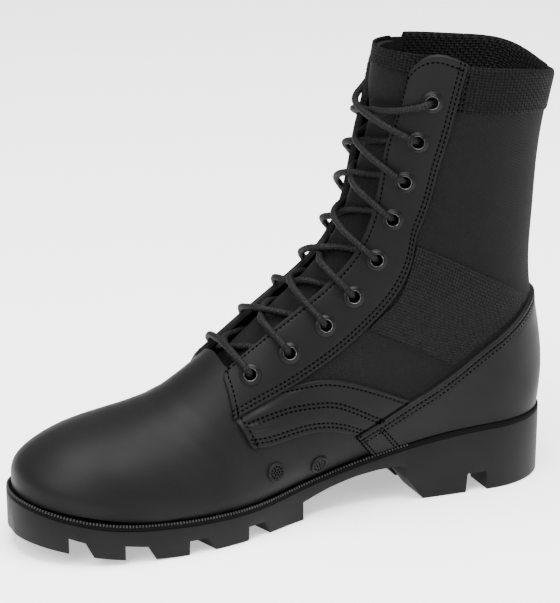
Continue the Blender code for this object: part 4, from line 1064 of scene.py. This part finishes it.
def eyeletProfile():
    bore, flange, seat, lip, roll, barrel, back = (
        eyeletLook[key] for key in ("bore", "flange", "seat", "lip", "roll", "barrel", "back"))
    rolled = [(bore + roll - roll * math.cos(a), seat + lip - 0.55 * mm + roll * math.sin(a))
              for a in np.linspace(-0.2, 0.75 * math.pi, 7)]
    skirt = [(flange - 1.5 * mm, seat + 0.75 * mm), (flange - 0.5 * mm, seat + 0.55 * mm),
             (flange - 0.1 * mm, seat + 0.3 * mm), (flange, seat + 0.02 * mm), (flange - 0.3 * mm, seat - 0.2 * mm)]
    under = [(barrel, seat - 0.2 * mm), (barrel, back), (barrel + 1.4 * mm, back - 0.2 * mm),
             (barrel + 1.2 * mm, back - 0.7 * mm), (bore, back - 0.5 * mm)]
    return rolled + skirt + under


def turnedPoints(profile, count, middle, out):
    # A profile of radius and height turned once round the way out
    angles = np.linspace(0, 2 * math.pi, count, endpoint=False)
    profile = np.array(profile)
    local = np.stack([np.outer(profile[:, 0], np.cos(angles)), np.outer(profile[:, 0], np.sin(angles)),
                      np.repeat(profile[:, 1:], count, 1)], -1)
    turn = np.array(Vector(out).to_track_quat("Z", "Y").to_matrix())
    return (local @ turn.T + middle).reshape(-1, 3)


def ringFaces(rows, columns):
    # Quads over a grid of points that closes both ways
    index = np.arange(rows * columns).reshape(rows, columns)
    below, right = np.roll(index, -1, 0), np.roll(index, -1, 1)
    return np.stack([index, right, np.roll(below, -1, 1), below], -1).reshape(-1, 4)


def makeEyelets():
    profile, count = eyeletProfile(), eyeletLook["steps"]
    places = [(u, side * v) for side in (-1, 1) for u, v in eyeletPlaces]
    points = [turnedPoints(profile, count, onForm(*place), form.normal(*place)) for place in places]
    # The profile runs inward, so each quad is turned over
    quads = ringFaces(len(profile), count)[:, [0, 3, 2, 1]]
    faces = np.concatenate([quads + i * len(points[0]) for i in range(len(places))])
    # The painted glint ring: one row of the lip roll, the same on every eyelet
    paintedGlint = np.tile(np.repeat(np.arange(len(profile)) == eyeletLook["glintRow"], count), len(places))
    mesh = meshFrom("eyelets", np.concatenate(points), faces, sharp=60)
    mesh.attributes.new("paintedGlint", "FLOAT", "POINT").data.foreach_set("value", paintedGlint.astype(np.float32))
    nodes = [f"eyelet_{name}_{i + 1}" for name in ("medial", "lateral") for i in range(len(eyeletPlaces))]
    return finishPiece(newPiece("eyelets", mesh, "enamel"), "enamel", *nodes)


makeEyelets()
print("eyelets made")

# Lace: one round braided cord. It lies across the lowest eyelets as a bar, goes in through them and
# crosses up to the top pair. A stop is a share of the way between two eyelets and a height over the form
laceLook = {"radius": 1.95 * mm, "spacing": 0.7 * mm, "sides": 12, "braidPitch": 3.4 * mm, "braidDepth": 0.22 * mm,
            "sag": 0.42}
upAndOver = ((0.0, -4.6), (0.0, -1.5), (0.012, 1.5), (0.028, 3.5), (0.055, 4.6), (0.09, 4.5), (0.13, 4.0),
             (0.18, 3.8))
fromUnder = ((0.0, -4.6), (0.12, -5.0), (0.22, -4.6))
tuckIn = ((0.74, -4.6), (0.86, -5.0), (0.96, -5.2))
laceMiddles = {
    "over": ((0.27, 2.6), (0.38, 0.9), (0.50, -0.4), (0.62, -2.7)),
    "under": ((0.27, 2.6), (0.38, -0.8), (0.50, -4.2), (0.62, -4.6)),
    "firstOver": ((0.35, -2.2), (0.50, -0.6), (0.62, -2.4)),
    "firstUnder": ((0.35, -4.4), (0.50, -4.5), (0.62, -4.6)),
    "lastOver": ((0.27, 3.4), (0.38, 2.7), (0.50, 2.4), (0.62, 2.7), (0.73, 3.4)),
    "lastUnder": ((0.27, 2.6), (0.38, 0.2), (0.50, -1.5), (0.62, 0.2), (0.73, 2.6)),
    "bar": ((0.28, 3.0), (0.40, 2.2), (0.50, 2.0), (0.60, 2.2), (0.72, 3.0)),
}


def overAndIn():
    # The way back into an eyelet mirrors the way out
    return tuple((1 - share, height) for share, height in upAndOver[::-1])


def laceStretch(fromPlace, toPlace, side, stops, sag):
    (u0, v0), (u1, v1) = fromPlace, toPlace
    share, height = np.array(stops).T
    u = u0 + (u1 - u0) * (share - sag * np.sin(np.pi * share))
    return onForm(u, side * (v0 - (v1 + v0) * share), height * mm)


def strandRoute(side):
    # From beneath the lowest eyelet on one side up to the top
    points = []
    strand = "over" if side < 0 else "under"
    last = len(eyeletPlaces) - 2
    for i in range(last + 1):
        if i == 0:
            stops = fromUnder + laceMiddles["first" + strand.capitalize()] + tuckIn
        elif i < last:
            stops = upAndOver + laceMiddles[strand] + tuckIn
        else:
            # The last crossing changes places and goes in from outside
            stops = upAndOver + laceMiddles["lastUnder" if strand == "over" else "lastOver"] + overAndIn()
        points.append(laceStretch(eyeletPlaces[i], eyeletPlaces[i + 1], side, stops, laceLook["sag"]))
        side = -side
    return np.concatenate(points)


def laceRoute():
    bar = upAndOver[1:] + laceMiddles["bar"] + overAndIn()[:-1]
    lowest = eyeletPlaces[0]
    return np.concatenate([strandRoute(-1)[::-1], laceStretch(lowest, lowest, -1, bar, 0.0), strandRoute(1)])


def smoothLine(points, spacing):
    apart = np.append(True, np.linalg.norm(np.diff(points, axis=0), axis=1) > 0.2 * mm)
    points = points[apart]
    way = arcLengths(points, 0)
    curves = [spline(way, points[:, axis]) for axis in range(3)]
    fine = np.linspace(0, way[-1], int(way[-1] / spacing) + 1)
    return np.column_stack([curve(fine) for curve in curves])


def cordMesh(name, line, look):
    ahead = np.gradient(line, axis=0)
    ahead /= np.linalg.norm(ahead, axis=1, keepdims=True)
    aside = np.zeros_like(line)
    aside[0] = np.cross(ahead[0], (0, 0, 1))
    for k in range(1, len(line)):
        aside[k] = aside[k - 1] - ahead[k] * (aside[k - 1] @ ahead[k])
        aside[k] /= np.linalg.norm(aside[k])
    over = np.cross(ahead, aside)
    angle = np.linspace(0, 2 * math.pi, look["sides"], endpoint=False)
    way = arcLengths(line, 0)
    turn = 2 * math.pi * way / look["braidPitch"]
    strands = np.maximum(np.sin(4 * angle[None] + turn[:, None]), np.sin(4 * angle[None] - turn[:, None]))
    radius = look["radius"] - look["braidDepth"] * (1 - strands)
    ring = (line[:, None] + aside[:, None] * (np.cos(angle)[None, :, None] * radius[..., None])
            + over[:, None] * (np.sin(angle)[None, :, None] * radius[..., None]))
    rows, columns = ring.shape[:2]
    index = np.arange(rows * columns).reshape(rows, columns)
    right = np.roll(index, -1, 1)
    faces = np.stack([index[:-1], right[:-1], right[1:], index[1:]], -1).reshape(-1, 4).tolist()
    ends = np.array([line[0], line[-1]])
    faces += [(rows * columns, int(right[0, k]), int(index[0, k])) for k in range(columns)]
    faces += [(rows * columns + 1, int(index[-1, k]), int(right[-1, k])) for k in range(columns)]
    uv = np.stack([np.repeat(way[:, None], columns, 1), np.tile(angle * look["radius"], (rows, 1))], -1)
    uv = np.concatenate([uv.reshape(-1, 2), [[0, 0], [way[-1], 0]]])
    return meshFrom(name, np.concatenate([ring.reshape(-1, 3), ends]), faces, uv, sharp=80)


def makeLace():
    line = smoothLine(laceRoute(), laceLook["spacing"])
    print("lace length", round(float(arcLengths(line, 0)[-1]), 3), "m")
    nodes = [f"lace_crossing_{i + 1}" for i in range(len(eyeletPlaces) - 1)]
    return finishPiece(newPiece("lace", cordMesh("lace", line, laceLook), "cord"), "cord", *nodes)


makeLace()
print("lace made")

# Vents: a shallow leather-black dish with a screen of small holes
ventLook = {"places": ((5.70, 0.853), (6.54, 0.927)), "radius": 5.25 * mm, "lip": 1.4 * mm, "screen": 0.9 * mm,
            "hole": 0.58 * mm, "gap": 1.55 * mm, "plate": 0.8 * mm, "sides": 40, "holeSides": 10}


def ventMesh(name, middle, out):
    radius, lip, screen, count = (ventLook[key] for key in ("radius", "lip", "screen", "sides"))
    profile = [(radius, -0.3 * mm), (radius + 0.1 * mm, 0.4 * mm), (radius - 0.25 * mm, lip * 0.9),
               (radius - 0.7 * mm, lip), (radius - 1.2 * mm, lip * 0.85), (radius - 1.5 * mm, screen),
               (radius - 1.6 * mm, screen - 0.9 * mm)]
    return meshFrom(name, turnedPoints(profile, count, middle, out), ringFaces(len(profile), count), sharp=60)


def screenMesh(name, middle, out):
    # Rings of small round holes in a thin plate
    work = bmesh.new()
    rims = [(0.0, 0.0, ventLook["radius"] - 1.45 * mm, ventLook["sides"])]
    for ring in range(3):
        count = max(1, 6 * ring)
        rims += [(ring * ventLook["gap"] * math.cos(2 * math.pi * k / count),
                  ring * ventLook["gap"] * math.sin(2 * math.pi * k / count), ventLook["hole"],
                  ventLook["holeSides"]) for k in range(count)]
    edges = []
    for x, y, radius, count in rims:
        corners = [work.verts.new((x + radius * math.cos(a), y + radius * math.sin(a), ventLook["screen"]))
                   for a in np.linspace(0, 2 * math.pi, count, endpoint=False)]
        edges += [work.edges.new((corners[k], corners[(k + 1) % count])) for k in range(count)]
    bmesh.ops.triangle_fill(work, edges=edges, use_beauty=True, use_dissolve=False, normal=(0, 0, 1))
    made = bmesh.ops.extrude_face_region(work, geom=work.faces[:])
    lowered = [item for item in made["geom"] if isinstance(item, bmesh.types.BMVert)]
    bmesh.ops.translate(work, verts=lowered, vec=(0, 0, -ventLook["plate"]))
    bmesh.ops.recalc_face_normals(work, faces=work.faces)
    mesh = bpy.data.meshes.new(name)
    work.to_mesh(mesh)
    work.free()
    turn = Vector(out).to_track_quat("Z", "Y").to_matrix().to_4x4()
    turn.translation = Vector(middle)
    mesh.transform(turn)
    return mesh


for i, (u, v) in enumerate(ventLook["places"]):
    middle, out = onForm(u, -v), form.normal(u, -v)
    parts = [ventMesh("rim", middle, out), screenMesh("screen", middle, out)]
    finishPiece(joinMeshes(f"vent{i + 1}", parts, "leather"), "leather", f"vent_{i + 1}")
print("vents made")

# Sole: the moulded rubber with its lugs, waist and heel, edges softened by the mould. Runs are shares of its
# length; a forefoot channel has its rear, its width and the way it slants, a heel channel its two ends
soleLook = {
    "stations": 260, "under": 11 * mm, "lug": 8 * mm, "flank": 4.5 * mm, "slant": 0.32, "heelDepth": 11 * mm,
    "heelFlank": 1.8 * mm, "gap": (0.142, 0.048), "breast": 0.268, "lugRear": 0.500, "soft": 0.7 * mm,
    "draft": 0.35 * mm, "bedGap": 0.3 * mm, "softAngle": 38, "sharpAngle": 30,
    "channels": ((0.561, 0.052, 1), (0.680, 0.052, 1), (0.796, 0.054, -1), (0.905, 0.043, -1)),
    "heelChannels": ((0.310, 0.014, 0.165, 0.014, 0.100), (0.165, 0.095, -0.020, 0.130, 0.064),
                     (0.165, -0.095, -0.020, -0.130, 0.064)),
    "waist": ((0.502, 0.270), (0.490, 0.295), (0.445, 0.395), (0.395, 0.485), (0.355, 0.530), (0.320, 0.545),
              (0.304, 0.510), (0.298, 0.318)),
}


def plateMesh(name, plan, levels, stations):
    # A plate in plan with its side rounded in steps: each level is a height at x and an inset
    tip, heel = plan[:, 0].argmax(), plan[:, 0].argmin()
    plan = np.roll(plan, -heel, axis=0)
    tip = (tip - heel) % len(plan)
    medial, lateral = plan[:tip + 1], np.concatenate([plan[tip:], plan[:1]])[::-1]
    low, high = plan[:, 0].min(), plan[:, 0].max()
    rings = []
    share = (1 - np.cos(np.linspace(0, math.pi, stations + 1)[1:-1])) / 2
    for height, inset in levels:
        x = low + inset + (high - low - 2 * inset) * share
        y = [np.interp(x, line[:, 0], line[:, 1]) for line in (medial, lateral)]
        y = [y[0] - inset, y[1] + inset]
        wide = [np.column_stack([x, side, height(x)]) for side in y]
        ends = [np.array([[place, (plan[0, 1] if place < 0.1 else plan[tip, 1]), float(height(place))]])
                for place in (low + inset, high - inset)]
        rings.append(np.concatenate([ends[0], wide[0], ends[1], wide[1][::-1]]))
    count = len(rings[0])
    points = np.concatenate(rings)
    faces = []
    for ring in range(len(rings) - 1):
        faces += [(ring * count + k, ring * count + (k + 1) % count, (ring + 1) * count + (k + 1) % count,
                   (ring + 1) * count + k) for k in range(count)]
    for base, flip in ((0, 1), ((len(rings) - 1) * count, -1)):
        near = [base + k for k in range(stations + 1)]
        far = [base] + [base + count - k for k in range(1, stations)] + [base + stations]
        for k in range(stations):
            face = [near[k], near[k + 1], far[k + 1], far[k]]
            face = [index for i, index in enumerate(face) if index not in face[:i]]
            faces.append(tuple(face[::flip]))
    return meshFrom(name, points, faces)


def blockMesh(name, outline, start, end, slant=0.0):
    points = np.array([(x + slant * y, y, z) for y in (start, end) for x, z in outline])
    return closeOut(meshFrom(name, points + shift, prismFaces(len(outline))))


def closeOut(mesh):
    # Every face of a closed mesh turned outward
    work = bmesh.new()
    work.from_mesh(mesh)
    bmesh.ops.recalc_face_normals(work, faces=work.faces)
    work.to_mesh(mesh)
    work.free()
    return mesh


def forefootCutters(under, half, side):
    # Each channel slants away from the middle line on both sides, with one sloping flank
    length, lug, slant = boot["soleLength"], soleLook["lug"], soleLook["slant"]
    cutters = []
    for i, (rear, wide, way) in enumerate(soleLook["channels"]):
        start, end = rear * length, (rear + wide) * length
        floorRear, floorFront = (float(treadHeight(x)) + lug for x in (start, end))
        outline = [(start, under), (end, under), (end, floorFront), (start + soleLook["flank"], floorRear),
                   (start, floorRear - lug)]
        middle = [(x + way * slant * half, z) for x, z in outline]
        cutters += [blockMesh(f"channel{i}", middle, 0, sign * side, -sign * way * slant) for sign in (1, -1)]
    return cutters


def heelCutters(under, side):
    # The gap right across behind the waist, and three channels that run out of the heel
    length, width = boot["soleLength"], boot["ballWidth"]
    deep, flank = soleLook["heelDepth"], soleLook["heelFlank"]
    start, end = soleLook["gap"][0] * length, sum(soleLook["gap"]) * length
    cutters = [blockMesh("gap", [(start, under), (end, under), (end - flank, deep), (start + flank, deep)],
                         -side, side)]
    faces = [(0, 1, 2, 3), (7, 6, 5, 4)] + [(k, (k + 1) % 4, 4 + (k + 1) % 4, 4 + k) for k in range(4)]
    for frontRun, frontReach, rearRun, rearReach, wide in soleLook["heelChannels"]:
        frontX, rearX = frontRun * length, rearRun * length
        slope = (frontReach - rearReach) * width / (frontX - rearX)
        points = [(x, frontReach * width + slope * (x - frontX) + way * wide * width / 2, z)
                  for z in (under, deep) for x, way in ((frontX, 1), (frontX, -1), (rearX, -1), (rearX, 1))]
        cutters.append(closeOut(meshFrom("heelChannel", np.array(points) + shift, faces)))
    return cutters


def waistCutter(under, side):
    length = boot["soleLength"]
    outline = [(soleLook["lugRear"] * length, under)]
    outline += [(run * length, rise * boot["heelHeight"]) for run, rise in soleLook["waist"]]
    outline += [(soleLook["breast"] * length, 0.0), (soleLook["breast"] * length, under)]
    return blockMesh("waist", outline, -side, side)


def makeSole():
    loop = offsetLoop(featherLine(800), boot["weltWidth"])
    soft, draft = soleLook["soft"], soleLook["draft"]

    def bed(x):
        return seatHeight(x) - boot["weltThickness"] - soleLook["bedGap"]
    levels = [(bed, soft), (lambda x: bed(x) - 0.3 * soft, 0.3 * soft), (lambda x: bed(x) - soft, 0.0),
              (lambda x: (bed(x) + treadHeight(x)) / 2, 0.1 * mm), (lambda x: treadHeight(x) + soft, draft),
              (lambda x: treadHeight(x) + 0.3 * soft, 0.3 * soft + draft), (treadHeight, soft + draft)]
    mesh = plateMesh("lugSole", loop, levels, soleLook["stations"])
    mesh.transform(Matrix.Translation(Vector(shift)))
    sole = newPiece("lugSole", closeOut(mesh), "rubber")
    under, half = -soleLook["under"], 0.5 * boot["ballWidth"]
    side = 1.5 * half
    cutters = forefootCutters(under, half, side) + heelCutters(under, side) + [waistCutter(under, side)]
    tools = [newPiece(f"cutter{i}", cutter, None) for i, cutter in enumerate(cutters)]
    for i, tool in enumerate(tools):
        cutAway(sole, f"cut{i}", tool)
    bevel = sole.modifiers.new("soft", "BEVEL")
    bevel.width = soft
    bevel.segments = 2
    bevel.limit_method = "ANGLE"
    bevel.angle_limit = math.radians(soleLook["softAngle"])
    sole.data = bakedMesh(sole)
    sole.data.shade_smooth()
    sole.data.set_sharp_from_angle(angle=math.radians(soleLook["sharpAngle"]))
    for tool in tools:
        bpy.data.objects.remove(tool)
    return finishPiece(sole, "rubber", "outsole")


makeSole()
print("sole made")

# Welt: a narrow bead, knurled round the forefoot and waist, with two smooth lines round the heel
weltLook = {
    "stations": 700,
    # Reach past the upper's foot and height over the seat, in mm
    "profile": ((0.3, -2.6), (0.3, -0.9), (0.8, -0.35), (1.3, -0.55), (1.7, -0.35), (2.3, -0.45), (2.8, -1.1),
                (3.0, -1.8), (3.0, -2.7)),
    "knurlFrom": 0.30, "knurlLine": (2.2, -0.5),
}
# The knurls take the lighter rubber, a painted highlight
knurlLook = {"Pitch": 1.7 * mm, "Item length": 1.05 * mm, "Item width": 1.5 * mm, "Item height": 1.7 * mm,
             "Finish": finishes["knurl"]}


def weltLine(loop, reach, drop):
    plan = offsetLoop(loop, reach * mm)
    return np.column_stack([plan, seatHeight(plan[:, 0]) + drop * mm]) + shift


def makeWelt():
    loop = featherLine(weltLook["stations"])
    grid = np.stack([weltLine(loop, *row) for row in weltLook["profile"]], 1)
    mesh = meshFrom("weltBead", grid.reshape(-1, 3), ringFaces(*grid.shape[:2]))
    # The bead takes the darker welt rubber, painted shade under the upper
    finishPiece(newPiece("weltBead", closeOut(mesh), "ribRubber"), "rubber", "welt")
    front = loop[:, 0] > weltLook["knurlFrom"] * boot["soleLength"]
    line = weltLine(loop, *weltLook["knurlLine"])[front]
    lines = [[line, np.tile((0.0, 0.0, 1.0), (len(line), 1))]]
    return runAlong("weltKnurls", lines, repeatTree("knurlRow"), knurlLook, "rubber")


makeWelt()
print("welt made")

# The insole board keeps its solid and takes the lining's cloth
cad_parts["insole"].data.materials.clear()
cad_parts["insole"].data.materials.append(finishes["lining"])

# Floor, light and camera
studio = {
    "floor": "#f4f4f4", "floorGlow": 0.7, "floorReach": 20, "world": "#ffffff", "worldStrength": 0.65,
    "azimuth": 156.867, "elevation": 18.671, "distance": 1.4824, "lens": 150.21,
    "target": (100.2 * mm, -126.4 * mm, 66.5 * mm), "aim": (0, 0, 0.1),
    # Softboxes: place, side and power
    "lights": {"softboxLeft": ((1.5, 1.0, 1.5), 1.4, 65), "softboxTop": ((0.0, 0.2, 2.2), 1.8, 190),
               "fillRight": ((-1.6, 1.4, 0.8), 1.2, 26)},
}


def makeFloor():
    reach = studio["floorReach"]
    corners = [(x * reach, y * reach, 0.0) for x, y in ((-1, -1), (1, -1), (1, 1), (-1, 1))]
    mesh = bpy.data.meshes.new("floor")
    mesh.from_pydata(corners, [], [(0, 1, 2, 3)])
    floor = newPiece("floor", mesh, None)
    made, _, shader = newFinish("palePaper", Roughness=0.9)
    shader.inputs["Base Color"].default_value = hexColour(studio["floor"])
    shader.inputs["Emission Color"].default_value = hexColour(studio["floor"])
    shader.inputs["Emission Strength"].default_value = studio["floorGlow"]
    mesh.materials.append(made)


def addLight(name, place, size, power):
    light = bpy.data.lights.new(name, "AREA")
    light.shape = "RECTANGLE"
    light.size = light.size_y = size
    light.energy = power
    lamp = bpy.data.objects.new(name, light)
    bpy.context.scene.collection.objects.link(lamp)
    lamp.location = place
    lamp.rotation_euler = (Vector(studio["aim"]) - Vector(place)).to_track_quat("-Z", "Y").to_euler()


def setStudio():
    makeFloor()
    for name, values in studio["lights"].items():
        addLight(name, *values)
    world = bpy.data.worlds.new("studio")
    bpy.context.scene.world = world
    world.use_nodes = True
    backdrop = world.node_tree.nodes["Background"]
    backdrop.inputs["Color"].default_value = hexColour(studio["world"])
    backdrop.inputs["Strength"].default_value = studio["worldStrength"]
    turn, lift = math.radians(studio["azimuth"]), math.radians(studio["elevation"])
    back = Vector((math.sin(turn) * math.cos(lift), -math.cos(turn) * math.cos(lift), math.sin(lift)))
    view = bpy.data.cameras.new("camera")
    view.lens = studio["lens"]
    view.sensor_width = 36
    camera = bpy.data.objects.new("camera", view)
    bpy.context.scene.collection.objects.link(camera)
    camera.location = Vector(studio["target"]) + Vector(shift) + back * studio["distance"]
    camera.rotation_euler = (-back).to_track_quat("-Z", "Y").to_euler()
    bpy.context.scene.camera = camera


setStudio()
